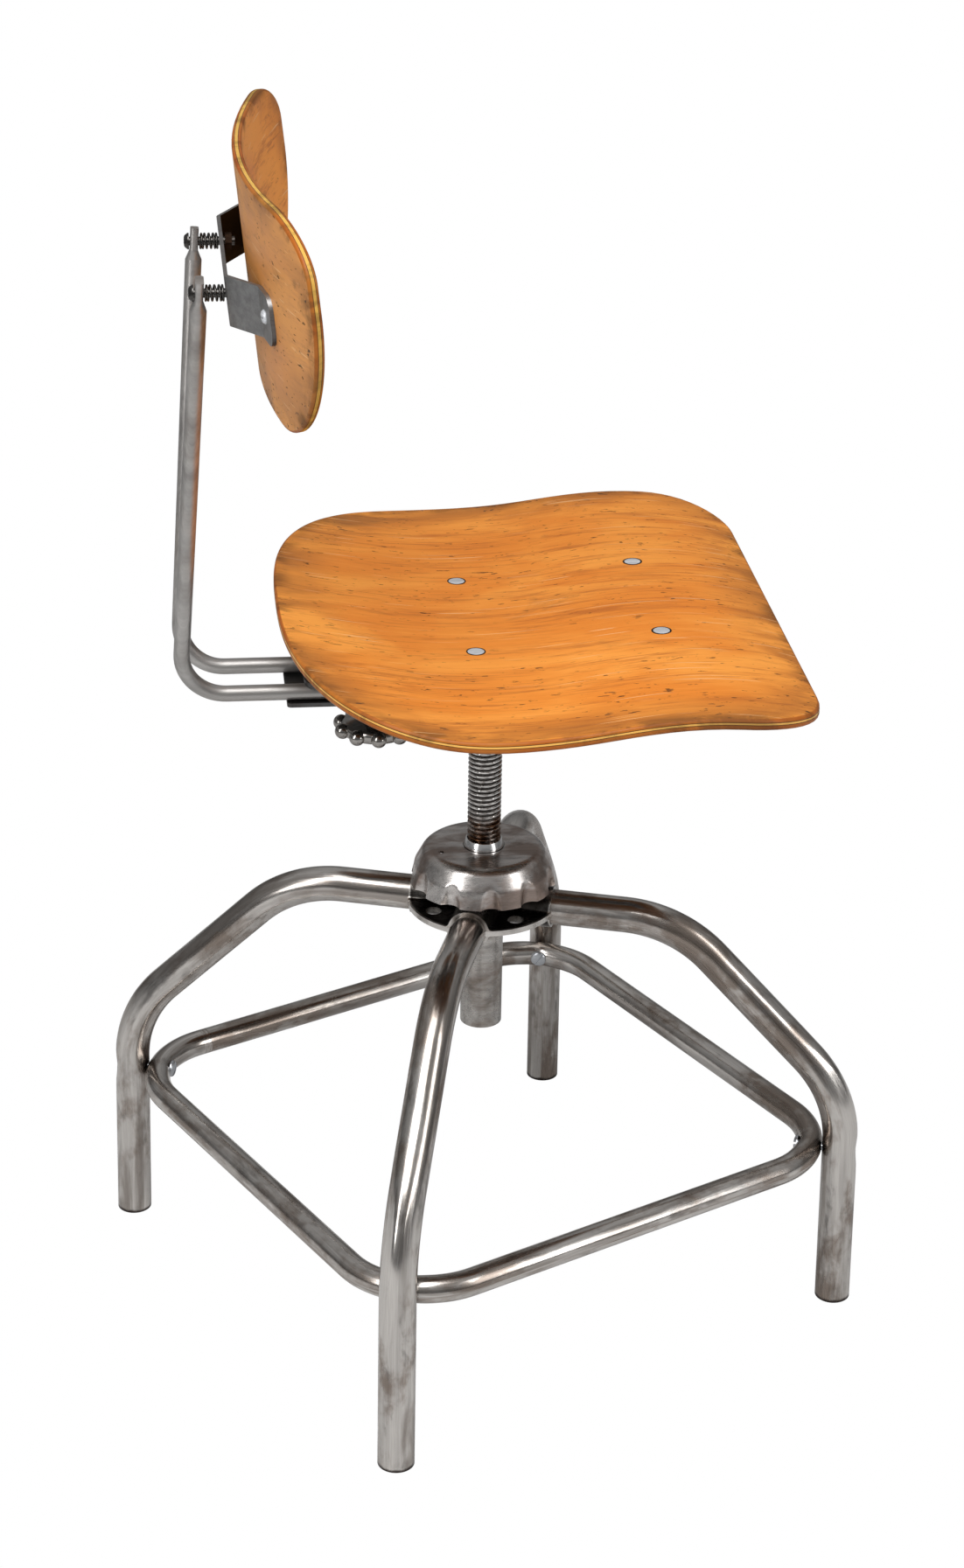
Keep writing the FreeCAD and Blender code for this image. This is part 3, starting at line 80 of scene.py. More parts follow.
class Wires:
    """Adds and joins nodes in one tree."""

    def __init__(self, tree: bpy.types.NodeTree) -> None:
        """Keeps the tree.

        Args:
            tree: Shader or geometry node tree to work on.
        """
        self.tree = tree

    def add(self, kind: str, inputs: Optional[dict[Any, Any]] = None,
            **settings: Any) -> bpy.types.Node:
        """Adds a node.

        Args:
            kind: Type of the node.
            inputs: Values or sockets by input name or number.
            settings: Properties of the node.

        Returns:
            The node.
        """
        node = self.tree.nodes.new(kind)
        for key, value in settings.items():
            setattr(node, key, value)
        for key, value in (inputs or {}).items():
            socket = node.inputs[key]
            if isinstance(value, Socket):
                self.tree.links.new(value, socket)
            else:
                socket.default_value = value
        return node

    def get(self, kind: str, inputs: Optional[dict[Any, Any]] = None,
            **settings: Any) -> Socket:
        """Adds a node and returns its first output."""
        return self.add(kind, inputs, **settings).outputs[0]

    def math(self, operation: str, a: Any, b: Any = 0.5) -> Socket:
        """Returns the result of a math node."""
        return self.get("ShaderNodeMath", {0: a, 1: b}, operation=operation)

    def mix(self, share: Any, a: Any, b: Any, blend: Blend = Blend.MIX) -> Socket:
        """Mixes two colours.

        Args:
            share: Weight of the second colour.
            a: First colour.
            b: Second colour.
            blend: Way of mixing.

        Returns:
            The colour socket.
        """
        node = self.add("ShaderNodeMix", data_type="RGBA", blend_type=blend.value)
        for index, value in ((0, share), (6, a), (7, b)):
            socket = node.inputs[index]
            if isinstance(value, Socket):
                self.tree.links.new(value, socket)
            elif index == 0:
                socket.default_value = value
            else:
                socket.default_value = (*value, 1.0) if len(value) == 3 else value
        return node.outputs[2]

    def steps(self, value: Any, low: float, high: float, out_low: float = 0.0,
              out_high: float = 1.0) -> Socket:
        """Maps low..high smoothly to out_low..out_high and clamps it."""
        return self.get("ShaderNodeMapRange", {0: value, 1: low, 2: high, 3: out_low, 4: out_high},
                        interpolation_type="SMOOTHSTEP")

    def axis(self, vector: Any, index: int) -> Socket:
        """Returns one coordinate of a vector."""
        return self.add("ShaderNodeSeparateXYZ", {0: vector}).outputs[index]

    def fact(self, name: str, vector: bool = False) -> Socket:
        """Returns a stored attribute as a value or a vector."""
        return self.add("ShaderNodeAttribute", attribute_name=name).outputs["Vector" if vector else "Fac"]

    def times(self, a: Any, b: Any) -> Socket:
        """Returns a product."""
        return self.math("MULTIPLY", a, b)

    def plus(self, a: Any, b: Any) -> Socket:
        """Returns a sum."""
        return self.math("ADD", a, b)

    def minus(self, a: Any, b: Any) -> Socket:
        """Returns a difference."""
        return self.math("SUBTRACT", a, b)

    def most(self, a: Any, b: Any) -> Socket:
        """Returns the larger value."""
        return self.math("MAXIMUM", a, b)

    def from_axis(self, place: Any) -> Socket:
        """Returns the distance of a place from the post's axis."""
        x, y = self.axis(place, 0), self.axis(place, 1)
        return self.math("SQRT", self.plus(self.times(x, x), self.times(y, y)))

    def stretch(self, vector: Any, scale: Sequence[float], turn: Sequence[float] = (0, 0, 0),
                move: Sequence[float] = (0, 0, 0)) -> Socket:
        """Scales, turns and moves a coordinate."""
        return self.get("ShaderNodeMapping", {0: vector, 1: move, 2: turn, 3: scale})

    def noise(self, vector: Any, scale: float, detail: float = 3.0, rough: float = 0.5,
              twist: float = 0.0) -> Socket:
        """Returns a noise value at a scale per metre."""
        return self.get("ShaderNodeTexNoise", {
            "Vector": vector, "Scale": scale, "Detail": detail, "Roughness": rough, "Distortion": twist})


def new_material(name: str) -> tuple[Finish, Wires]:
    """Starts an empty material and returns it with its wires.

    Args:
        name: Name of the material.

    Returns:
        The material and its wires.
    """
    material = bpy.data.materials.new(name)
    material.use_nodes = True
    material.node_tree.nodes.clear()
    return material, Wires(material.node_tree)


@dataclass(frozen=True)
class GroupSocket:
    """One named socket of a shader group."""

    name: str
    kind: str
    value: Any = None


def shader_group(name: str, inputs: Sequence[GroupSocket], outputs: Sequence[GroupSocket],
                 build: Callable[[Wires, Any], dict[str, Any]]) -> bpy.types.NodeTree:
    """Makes a shader node group once.

    Args:
        name: Name of the group.
        inputs: Its inputs with default values.
        outputs: Its outputs.
        build: Fills the tree and returns a socket for each output.

    Returns:
        The group.
    """
    if name in bpy.data.node_groups:
        return bpy.data.node_groups[name]
    group = bpy.data.node_groups.new(name, "ShaderNodeTree")
    for item in inputs:
        socket = group.interface.new_socket(item.name, in_out="INPUT", socket_type=item.kind)
        if item.value is not None:
            socket.default_value = item.value
    for item in outputs:
        group.interface.new_socket(item.name, in_out="OUTPUT", socket_type=item.kind)
    wires = Wires(group)
    entry = wires.add("NodeGroupInput")
    results = build(wires, entry.outputs)
    exit_node = wires.add("NodeGroupOutput")
    for key, socket in results.items():
        group.links.new(socket, exit_node.inputs[key])
    return group


VECTOR, FLOAT = "NodeSocketVector", "NodeSocketFloat"


def heat_stain_group() -> bpy.types.NodeTree:
    """Brown heat stains and dark smudges of bare steel.

    Returns:
        Group with the outputs Stain, Smudge and Fine.
    """
    def build(wires: Wires, given: Any) -> dict[str, Any]:
        """Fills the group.

        Args:
            wires: Writer of the nodes.
            given: Sockets of the group's inputs.

        Returns:
            A socket for each output.
        """
        place, drawn = given["Vector"], given["Drawn"]
        broad = wires.noise(wires.stretch(drawn, (1.0, 0.42, 1.0)), 24.0, 4.0, 0.56, 0.5)
        small = wires.noise(wires.stretch(drawn, (1.0, 0.5, 1.0)), 110.0, 5.0, 0.62, 0.3)
        mixed = wires.plus(wires.times(broad, 0.7), wires.times(small, 0.3))
        stain = wires.steps(mixed, given["Low"], given["High"])
        dark = wires.noise(wires.stretch(drawn, (1.0, 0.35, 1.0), move=(3.1, 1.7, 0.4)), 75.0, 5.0, 0.62, 0.4)
        smudge = wires.steps(dark, 0.54, 0.72)
        fine = wires.noise(place, 420.0, 4.0, 0.65)
        return {"Stain": stain, "Smudge": smudge, "Fine": fine}

    return shader_group("heat_stain", [
        GroupSocket("Vector", VECTOR), GroupSocket("Drawn", VECTOR),
        GroupSocket("Low", FLOAT, 0.45), GroupSocket("High", FLOAT, 0.62),
    ], [GroupSocket("Stain", FLOAT), GroupSocket("Smudge", FLOAT), GroupSocket("Fine", FLOAT)], build)


def brushing_group() -> bpy.types.NodeTree:
    """Fine rubbed lines along the second coordinate.

    Returns:
        Group with the outputs Lines and Band.
    """
    def build(wires: Wires, given: Any) -> dict[str, Any]:
        """Fills the group.

        Args:
            wires: Writer of the nodes.
            given: Sockets of the group's inputs.

        Returns:
            A socket for each output.
        """
        place = given["Vector"]
        lines = wires.noise(wires.stretch(place, (1.0, 0.03, 1.0)), 1100.0, 3.0, 0.6)
        band = wires.noise(wires.stretch(place, (1.0, 0.05, 1.0)), 210.0, 3.0, 0.55, 0.2)
        return {"Lines": lines, "Band": band}

    return shader_group("brushing", [GroupSocket("Vector", VECTOR)],
                        [GroupSocket("Lines", FLOAT), GroupSocket("Band", FLOAT)], build)


@dataclass(frozen=True)
class Steel:
    """A bare or dark steel finish."""

    name: str
    bright: Colour
    brown: Colour
    dark: Colour
    rough: float = 0.22
    rough_stained: float = 0.36
    stain_low: float = 0.46
    stain_high: float = 0.64
    stain_share: float = 0.8
    smudge_share: float = 0.35
    bump: float = 0.03
    drawn: bool = False
    metal: float = 1.0
    grain: tuple[float, float, float] = (1.0, 1.0, 1.0)

    def tint(self, wires: Wires, place: Any, colour: Any) -> Any:
        """Adds what only some steels show; plain steel adds nothing."""
        return colour

    def make(self) -> Finish:
        """Builds the material.

        Returns:
            The material.
        """
        material, wires = new_material(self.name)
        place = wires.add("ShaderNodeTexCoord").outputs["Object"]
        along = wires.fact("run", True) if self.drawn else wires.stretch(place, self.grain)
        stains = wires.add("ShaderNodeGroup", {
            "Vector": place, "Drawn": along, "Low": self.stain_low, "High": self.stain_high,
        }, node_tree=heat_stain_group())
        lines = wires.add("ShaderNodeGroup", {"Vector": along}, node_tree=brushing_group())
        stain = wires.times(stains.outputs["Stain"], self.stain_share)
        smudge = wires.times(stains.outputs["Smudge"], self.smudge_share)
        smudge = wires.most(smudge, wires.times(wires.fact("grime"), 0.85))
        colour = wires.mix(stain, self.bright, self.brown)
        colour = wires.mix(smudge, colour, self.dark)
        shade = wires.times(wires.steps(lines.outputs["Lines"], 0.3, 0.7, 0.90, 1.06),
                            wires.steps(lines.outputs["Band"], 0.35, 0.65, 0.86, 1.06))
        grey = wires.get("ShaderNodeCombineColor", {0: shade, 1: shade, 2: shade})
        colour = wires.mix(1.0, colour, grey, Blend.MULTIPLY)
        colour = self.tint(wires, place, colour)
        rough = wires.steps(wires.most(stain, smudge), 0.0, 1.0, self.rough, self.rough_stained)
        rough = wires.plus(rough, wires.steps(lines.outputs["Lines"], 0.3, 0.7, -0.03, 0.04))
        height = wires.plus(wires.times(lines.outputs["Band"], 0.6),
                            wires.times(stains.outputs["Fine"], 0.25))
        bump = wires.add("ShaderNodeBump", {"Strength": self.bump, "Distance": 0.0006, "Height": height})
        surface = wires.add("ShaderNodeBsdfPrincipled", {
            "Base Color": colour, "Roughness": rough, "Metallic": self.metal, "Normal": bump.outputs[0]})
        wires.add("ShaderNodeOutputMaterial", {0: surface.outputs[0]})
        return material


@dataclass(frozen=True)
class TubeSteel(Steel):
    """Tube steel: long dark bands of painted reflection and a darkened rim at the feet."""

    rim_height: float = 2.6 * MM
    # Colour of the painted dark reflection bands along the tube.
    band: Colour = (0.20, 0.165, 0.14)

    def tint(self, wires: Wires, place: Any, colour: Any) -> Any:
        """Lays long dark bands of painted reflection along the tube and darkens the lowest rim.

        Args:
            wires: Writer of the nodes.
            place: Coordinates in metres.
            colour: Colour so far.

        Returns:
            The colour socket.
        """
        run = wires.fact("run", True)
        # Painted reflection: dark bands along the tube stand in for the dark room that it reflects.
        dark_reflection_band = wires.noise(wires.stretch(run, (52.0, 5.0, 1.0), move=(2.0, 6.0, 0)), 1.0, 4.0, 0.6, 0.4)
        colour = wires.mix(wires.steps(dark_reflection_band, 0.50, 0.62, 0.0, 0.62), colour, self.band)
        # Darker within a few millimetres of the floor.
        low = wires.plus(wires.axis(place, 2), wires.times(wires.noise(place, 160.0), 0.003))
        return wires.mix(wires.steps(low, self.rim_height + 0.0022, self.rim_height), colour, self.dark)


@dataclass(frozen=True)
class BracketSteel(Steel):
    """Sheet steel, rubbed on the rear and blackened on the front with painted shade."""

    # Colour of the painted shade on the front faces.
    front_face_shade: Colour = (0.022, 0.020, 0.019)

    def tint(self, wires: Wires, place: Any, colour: Any) -> Any:
        """Blackens the faces that look forward with painted shade, and half as much the faces that look
        sideways, up or down.
        """
        facing = wires.axis(wires.add("ShaderNodeTexCoord").outputs["Normal"], 1)
        return wires.mix(wires.steps(facing, 0.15, -0.15), colour, self.front_face_shade)


@dataclass(frozen=True)
class ThreadSteel(Steel):
    """Screw steel: bright crests, grooves darkened with painted shade, rusty up to a height."""

    crest: float = 11.9 * MM
    root: float = 10.4 * MM
    rust_top: float = 0.367
    rust: Colour = (0.125, 0.062, 0.032)
    # Colour of the painted shade in the thread's grooves.
    groove: Colour = (0.030, 0.022, 0.018)

    def tint(self, wires: Wires, place: Any, colour: Any) -> Any:
        """Paints shade into the grooves and lays rust over the lower turns.

        Args:
            wires: Writer of the nodes.
            place: Coordinates in metres.
            colour: Colour so far.

        Returns:
            The colour socket.
        """
        reach, z = wires.from_axis(place), wires.axis(place, 2)
        deep = wires.steps(reach, self.crest - 0.45 * MM, self.root + 0.1 * MM)
        ragged = wires.plus(z, wires.times(wires.noise(place, 60.0, 3.0), 0.03))
        rusty = wires.steps(ragged, self.rust_top + 0.022, self.rust_top + 0.010)
        worn = wires.steps(wires.noise(place, 140.0, 4.0), 0.36, 0.6, 0.55, 1.0)
        colour = wires.mix(wires.times(rusty, worn), colour, self.rust)
        # Painted shade in the grooves, less where rust lies.
        return wires.mix(wires.times(deep, wires.steps(rusty, 0.0, 1.0, 0.92, 0.55)), colour, self.groove)


@dataclass(frozen=True)
class HubSteel(Steel):
    """Pressed hub steel: black painted shade in the pockets inside a lip with a painted highlight and wear.
    """

    lip: float = 52.6 * MM
    middle: float = 296.2 * MM
    # Colour of the painted highlight, patchy with wear, along the lip.
    worn: Colour = (0.66, 0.63, 0.60)
    # Colour of the painted shade in the pockets.
    pocket_shade: Colour = (0.030, 0.026, 0.022)

    def tint(self, wires: Wires, place: Any, colour: Any) -> Any:
        """Paints shade into the pockets within the lip, the more the deeper they are, and a highlight with
        wear along the lip.

        Args:
            wires: Writer of the nodes.
            place: Coordinates in metres.
            colour: Colour so far.

        Returns:
            The colour socket.
        """
        reach, z = wires.from_axis(place), wires.axis(place, 2)
        inside = wires.steps(reach, self.lip, self.lip - 1.2 * MM)
        depth = wires.math("ABSOLUTE", wires.minus(z, self.middle))
        low = wires.steps(depth, 0.0125, 0.0095)
        rubbed = wires.steps(wires.noise(place, 90.0, 4.0), 0.3, 0.6, 0.35, 0.9)
        # Painted highlight along the lip, patchy with wear.
        lip_highlight_and_wear = wires.times(wires.steps(reach, self.lip - 0.4 * MM, self.lip + 0.4 * MM), rubbed)
        colour = wires.mix(lip_highlight_and_wear, colour, self.worn)
        # Painted shade in the pockets, where the surface lies low near the middle plane.
        ragged = wires.steps(wires.noise(place, 120.0, 4.0), 0.3, 0.7, 0.8, 1.0)
        return wires.mix(wires.times(wires.times(inside, low), ragged), colour, self.pocket_shade)


def wood_group() -> bpy.types.NodeTree:
    """Rotary cut veneer under worn varnish; the grain runs along the second coordinate.

    Returns:
        Group with the outputs Grain, Cloud, Fleck, Knock, Scratch, Stain and Worn.
    """
    def build(wires: Wires, given: Any) -> dict[str, Any]:
        """Fills the group.

        Args:
            wires: Writer of the nodes.
            given: Sockets of the group's inputs.

        Returns:
            A socket for each output.
        """
        place = given["Vector"]
        bent = wires.noise(wires.stretch(place, (9.0, 3.5, 3.0)), 1.0, 2.0, 0.5)
        shift = wires.get("ShaderNodeCombineXYZ", {0: wires.times(bent, 0.035)})
        warped = wires.get("ShaderNodeVectorMath", {0: place, 1: shift}, operation="ADD")
        broad = wires.noise(wires.stretch(warped, (70.0, 6.0, 30.0)), 1.0, 5.0, 0.6, 0.3)
        streak = wires.noise(wires.stretch(warped, (300.0, 11.0, 120.0), move=(0.7, 0.2, 0)), 1.0, 4.0, 0.7)
        pores = wires.noise(wires.stretch(warped, (700.0, 34.0, 300.0)), 1.0, 3.0, 0.7)
        fine = wires.plus(wires.times(streak, 0.38), wires.times(pores, 0.27))
        grain = wires.plus(wires.times(broad, 0.35), fine)
        cloud = wires.noise(wires.stretch(place, (16.0, 7.0, 8.0), move=(4.2, 0, 0)), 1.0, 4.0, 0.55, 0.7)
        speck = wires.noise(wires.stretch(warped, (420.0, 105.0, 200.0)), 1.0, 3.0, 0.55, 0.1)
        patch = wires.noise(wires.stretch(place, (11.0, 9.0, 9.0), move=(1.3, 7.7, 0)), 1.0, 3.0, 0.6)
        fleck = wires.times(wires.steps(speck, 0.640, 0.690), wires.steps(patch, 0.34, 0.54))
        dots = wires.stretch(warped, (150.0, 62.0, 100.0), move=(5.5, 1.1, 0))
        knock = wires.noise(dots, 1.0, 4.0, 0.6, 0.4)
        cuts = []
        for turn, reach in ((0.35, 0.0), (-0.8, 3.0), (1.2, 6.0)):
            line = wires.stretch(place, (520.0, 9.0, 60.0), (0, 0, turn), (reach, reach, 0))
            cuts.append(wires.steps(wires.noise(line, 1.0, 1.0, 0.5, 0.1), 0.735, 0.765))
        scratch = wires.most(wires.most(cuts[0], cuts[1]), cuts[2])
        smoke = wires.noise(wires.stretch(place, (22.0, 11.0, 14.0), move=(9.1, 4.4, 0)), 1.0, 5.0, 0.66, 0.9)
        worn = wires.noise(wires.stretch(place, (40.0, 22.0, 20.0), move=(0, 2.2, 5.0)), 1.0, 5.0, 0.62, 0.5)
        return {"Grain": grain, "Cloud": cloud, "Fleck": fleck, "Scratch": scratch,
                "Knock": wires.steps(knock, 0.66, 0.70),
                "Stain": wires.steps(smoke, 0.60, 0.76), "Worn": worn}

    names = ("Grain", "Cloud", "Fleck", "Knock", "Scratch", "Stain", "Worn")
    return shader_group("veneer", [GroupSocket("Vector", VECTOR)],
                        [GroupSocket(name, FLOAT) for name in names], build)


@dataclass(frozen=True)
class Plywood:
    """Varnished three-ply board with a dark rim, partly wear and partly painted shade, and a pale middle ply.
    """

    name: str
    honey: Colour = (0.74, 0.222, 0.018)
    light: Colour = (0.86, 0.330, 0.050)
    deep: Colour = (0.37, 0.088, 0.008)
    dirt: Colour = (0.050, 0.022, 0.008)
    # Smoke colour: real stains, and painted shade near the rim.
    smoke: Colour = (0.20, 0.085, 0.018)
    pale: Colour = (0.88, 0.58, 0.30)
    core: Colour = (0.92, 0.50, 0.11)
    cut: Colour = (0.46, 0.150, 0.020)
    under: Colour = (0.050, 0.024, 0.010)
    under_share: float = 0.9
    turn: tuple[float, float, float] = (0.0, 0.0, 0.0)
    core_at: float = 0.60
    core_half: float = 0.075

    def make(self) -> Finish:
        """Builds the material.

        Returns:
            The material.
        """
        material, wires = new_material(self.name)
        place = wires.add("ShaderNodeTexCoord").outputs["Object"]
        place = wires.stretch(place, (1, 1, 1), self.turn)
        part = wires.add("ShaderNodeGroup", {"Vector": place}, node_tree=wood_group()).outputs
        ply, rim = wires.fact("ply"), wires.fact("rim")
        colour = wires.mix(wires.steps(part["Cloud"], 0.36, 0.66), self.honey, self.light)
        colour = wires.mix(wires.steps(part["Grain"], 0.49, 0.62, 0.0, 0.62), colour, self.deep)
        colour = wires.mix(wires.steps(part["Grain"], 0.48, 0.36, 0.0, 0.45), colour, self.light)
        colour = wires.mix(wires.times(part["Stain"], 0.45), colour, self.smoke)
        below = wires.times(wires.steps(ply, 0.04, 0.0), self.under_share)
        colour = wires.mix(below, colour, self.under)
        soiled = wires.most(part["Stain"], wires.steps(part["Worn"], 0.55, 0.68))
        colour = wires.mix(wires.times(below, soiled), colour, self.smoke)
        rubbed = wires.steps(part["Worn"], 0.44, 0.62)
        edge_dirt = wires.times(wires.steps(rim, 0.016, 0.0), rubbed)
        # Painted shade within a few centimetres of the rim, in the smoke colour.
        shadow = wires.times(wires.steps(rim, 0.055, 0.0), wires.steps(part["Cloud"], 0.62, 0.38, 0.0, 0.55))
        colour = wires.mix(shadow, colour, self.smoke)
        colour = wires.mix(wires.times(edge_dirt, 0.6), colour, self.dirt)
        colour = wires.mix(wires.times(part["Fleck"], 0.85), colour, self.dirt)
        knocked = wires.times(part["Knock"], wires.steps(rim, 0.050, 0.012, 0.0, 0.9))
        colour = wires.mix(knocked, colour, self.dirt)
        colour = wires.mix(wires.times(part["Scratch"], 0.55), colour, self.pale)
        # Cut edge: brown outer plies, dark glue lines and a pale middle ply
        side = wires.steps(rim, 0.0022, 0.0012)
        away = wires.math("ABSOLUTE", wires.minus(ply, self.core_at))
        half = self.core_half
        edge = wires.mix(wires.steps(part["Cloud"], 0.35, 0.65), self.cut, self.deep)
        edge = wires.mix(wires.steps(away, half + 0.09, half + 0.03, 0.0, 0.9), edge, self.dirt)
        edge = wires.mix(wires.steps(away, half + 0.015, half - 0.01), edge, self.core)
        edge = wires.mix(wires.times(rubbed, 0.55), edge, self.dirt)
        colour = wires.mix(side, colour, edge)
        rough = wires.steps(part["Cloud"], 0.3, 0.7, 0.36, 0.48)
        rough = wires.plus(rough, wires.times(wires.most(part["Fleck"], edge_dirt), 0.2))
        height = wires.minus(wires.times(part["Grain"], 0.35),
                            wires.times(wires.most(part["Scratch"], part["Fleck"]), 0.6))
        bump = wires.add("ShaderNodeBump", {"Strength": 0.10, "Distance": 0.0008, "Height": height})
        surface = wires.add("ShaderNodeBsdfPrincipled", {
            "Base Color": colour, "Roughness": rough, "Normal": bump.outputs[0]})
        surface.inputs["Specular IOR Level"].default_value = 0.22
        surface.inputs["Coat Weight"].default_value = 0.06
        surface.inputs["Coat Roughness"].default_value = 0.25
        wires.add("ShaderNodeOutputMaterial", {0: surface.outputs[0]})
        return material


@dataclass(frozen=True)
class Finishes:
    """Every finish of the stool."""

    tube: Steel = TubeSteel(
        "tube_steel", (0.62, 0.59, 0.56), (0.19, 0.135, 0.10), (0.055, 0.045, 0.04),
        0.19, 0.30, 0.45, 0.60, 0.75, 0.5, 0.012, True)
    rod: Steel = Steel(
        "rod_steel", (0.44, 0.425, 0.41), (0.20, 0.165, 0.135), (0.07, 0.06, 0.05),
        0.38, 0.46, 0.47, 0.66, 0.6, 0.35, 0.012, metal=0.8, grain=(1.0, 0.22, 0.22))
    sleeve: Steel = Steel(
        "sleeve_steel", (0.46, 0.44, 0.42), (0.20, 0.155, 0.125), (0.07, 0.06, 0.05), 0.28, 0.40)
    hub: Steel = HubSteel(
        "hub_steel", (0.46, 0.44, 0.42), (0.19, 0.15, 0.12), (0.06, 0.05, 0.045), 0.26, 0.40)
    wheel: Steel = Steel(
        "wheel_steel", (0.60, 0.57, 0.55), (0.24, 0.165, 0.13), (0.10, 0.08, 0.07),
        0.28, 0.36, 0.44, 0.58, 0.78, 0.4, 0.03)
    nut: Steel = Steel(
        "nut_steel", (0.86, 0.86, 0.86), (0.4, 0.35, 0.3), (0.2, 0.19, 0.18), 0.20, 0.3, 0.60, 0.8)
    thread: Steel = ThreadSteel(
        "thread_steel", (0.78, 0.76, 0.74), (0.34, 0.26, 0.20), (0.10, 0.08, 0.07),
        0.24, 0.42, 0.52, 0.70)
    bracket: Steel = BracketSteel(
        "bracket_steel", (0.36, 0.36, 0.36), (0.25, 0.235, 0.22), (0.12, 0.115, 0.11),
        0.42, 0.48, 0.5, 0.7, 0.4, 0.2, 0.01)
    frame: Steel = Steel(
        "frame_steel", (0.12, 0.12, 0.12), (0.08, 0.065, 0.055), (0.03, 0.027, 0.025), 0.38, 0.5)
    bolt: Steel = Steel(
        "bolt_steel", (0.56, 0.58, 0.61), (0.36, 0.35, 0.34), (0.15, 0.14, 0.13), 0.34, 0.45, 0.55, 0.75)
    rivet: Steel = Steel(
        "seat_bolt_steel", (0.66, 0.68, 0.71), (0.46, 0.46, 0.47), (0.25, 0.25, 0.25),
        0.36, 0.45, 0.55, 0.75, metal=0.35)
    spring: Steel = Steel(
        "spring_steel", (0.10, 0.095, 0.09), (0.05, 0.043, 0.037), (0.02, 0.018, 0.017), 0.26, 0.40)
    knob: Steel = Steel(
        "knob_steel", (0.36, 0.34, 0.32), (0.16, 0.125, 0.10), (0.05, 0.045, 0.04), 0.17, 0.30)
    dirt: Steel = Steel(
        "joint_dirt", (0.05, 0.03, 0.02), (0.03, 0.02, 0.015), (0.02, 0.015, 0.01), 0.6, 0.7)
    seat_wood: Plywood = Plywood("seat_veneer")
    back_wood: Plywood = Plywood(
        "back_veneer", under=(0.56, 0.29, 0.11), under_share=0.55, core_at=0.5, core_half=0.15,
        core=(0.66, 0.38, 0.075), cut=(0.42, 0.17, 0.025), turn=(math.radians(-84), 0.0, math.radians(90)))


# Meshes


def link_object(name: str, data: Any) -> Piece:
    """Makes an object in the scene.

    Args:
        name: Name of the object.
        data: Mesh, light or camera that it shows.

    Returns:
        The object.
    """
    thing = bpy.data.objects.new(name, data)
    bpy.context.scene.collection.objects.link(thing)
    return thing


def evaluated_mesh(piece: Piece) -> bpy.types.Mesh:
    """Returns the plain mesh that an object's modifiers make.

    Args:
        piece: The object.

    Returns:
        The mesh.
    """
    graph = bpy.context.evaluated_depsgraph_get()
    graph.update()
    return bpy.data.meshes.new_from_object(piece.evaluated_get(graph))


def new_piece(name: str, points: Sequence[Vector], faces: Sequence[Sequence[int]],
              material: Finish, sharp: float = 40.0) -> Piece:
    """Makes a mesh object at the origin.

    Args:
        name: Name of the piece.
        points: Corners in metres.
        faces: Corner numbers of each face.
        material: Its finish.
        sharp: Angle in degrees past which an edge stays sharp.

    Returns:
        The object.
    """
    mesh = bpy.data.meshes.new(name)
    mesh.from_pydata([tuple(p) for p in points], [], [tuple(f) for f in faces])
    mesh.validate()
    build = bmesh.new()
    build.from_mesh(mesh)
    bmesh.ops.recalc_face_normals(build, faces=build.faces)
    build.to_mesh(mesh)
    build.free()
    for polygon in mesh.polygons:
        polygon.use_smooth = True
    mesh.set_sharp_from_angle(angle=math.radians(sharp))
    mesh.materials.append(material)
    return link_object(name, mesh)


def give_attribute(mesh: bpy.types.Mesh, name: str, values: Sequence[Any], kind: str = "FLOAT") -> None:
    """Stores one value or vector for each corner of a mesh.

    Args:
        mesh: The mesh.
        name: Name of the attribute.
        values: A value for each vertex.
        kind: FLOAT or FLOAT_VECTOR.
    """
    layer = mesh.attributes.new(name, kind, "POINT")
    if kind == "FLOAT":
        layer.data.foreach_set("value", [float(v) for v in values])
    else:
        layer.data.foreach_set("vector", [float(c) for v in values for c in v])


def seat_on(piece: Piece, body: str, slot: str, *nodes: str) -> Piece:
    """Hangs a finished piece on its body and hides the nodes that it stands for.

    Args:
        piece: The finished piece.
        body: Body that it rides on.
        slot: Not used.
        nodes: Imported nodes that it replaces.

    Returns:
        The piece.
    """
    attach(piece, body)
    if nodes:
        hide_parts(*nodes)
    LOG.info("%s: %d faces on %s", piece.name, len(piece.data.polygons), body)
    return piece


def corner_arc(before: Vector, corner: Vector, after: Vector, radius: float,
               parts: int = 0, step: float = 0.004) -> list[Vector]:
    """Points of the round bend that replaces a corner.

    Args:
        before: Corner before it.
        corner: The corner.
        after: Corner after it.
        radius: Radius of the bend.
        parts: Steps, or 0 to go by the distance.
        step: Distance between points where parts is 0.

    Returns:
        The points.
    """
    back, ahead = (before - corner).normalized(), (after - corner).normalized()
    half = back.angle(ahead) / 2
    centre = corner + (back + ahead).normalized() * (radius / math.sin(half))
    start = corner + back * (radius / math.tan(half)) - centre
    total = math.pi - 2 * half
    axis = back.cross(ahead).normalized()
    parts = parts or max(6, int(total * radius / step))
    return [centre + Matrix.Rotation(-total * k / parts, 3, axis) @ start for k in range(parts + 1)]


def oval_quarter(cx: float, cy: float, across: float, up: float, start: float,
                 parts: int) -> Outline:
    """Quarter of an oval round a centre, from a start angle on."""
    turns = [start + math.pi / 2 * k / parts for k in range(parts + 1)]
    return [(cx + across * math.cos(turn), cy + up * math.sin(turn)) for turn in turns]


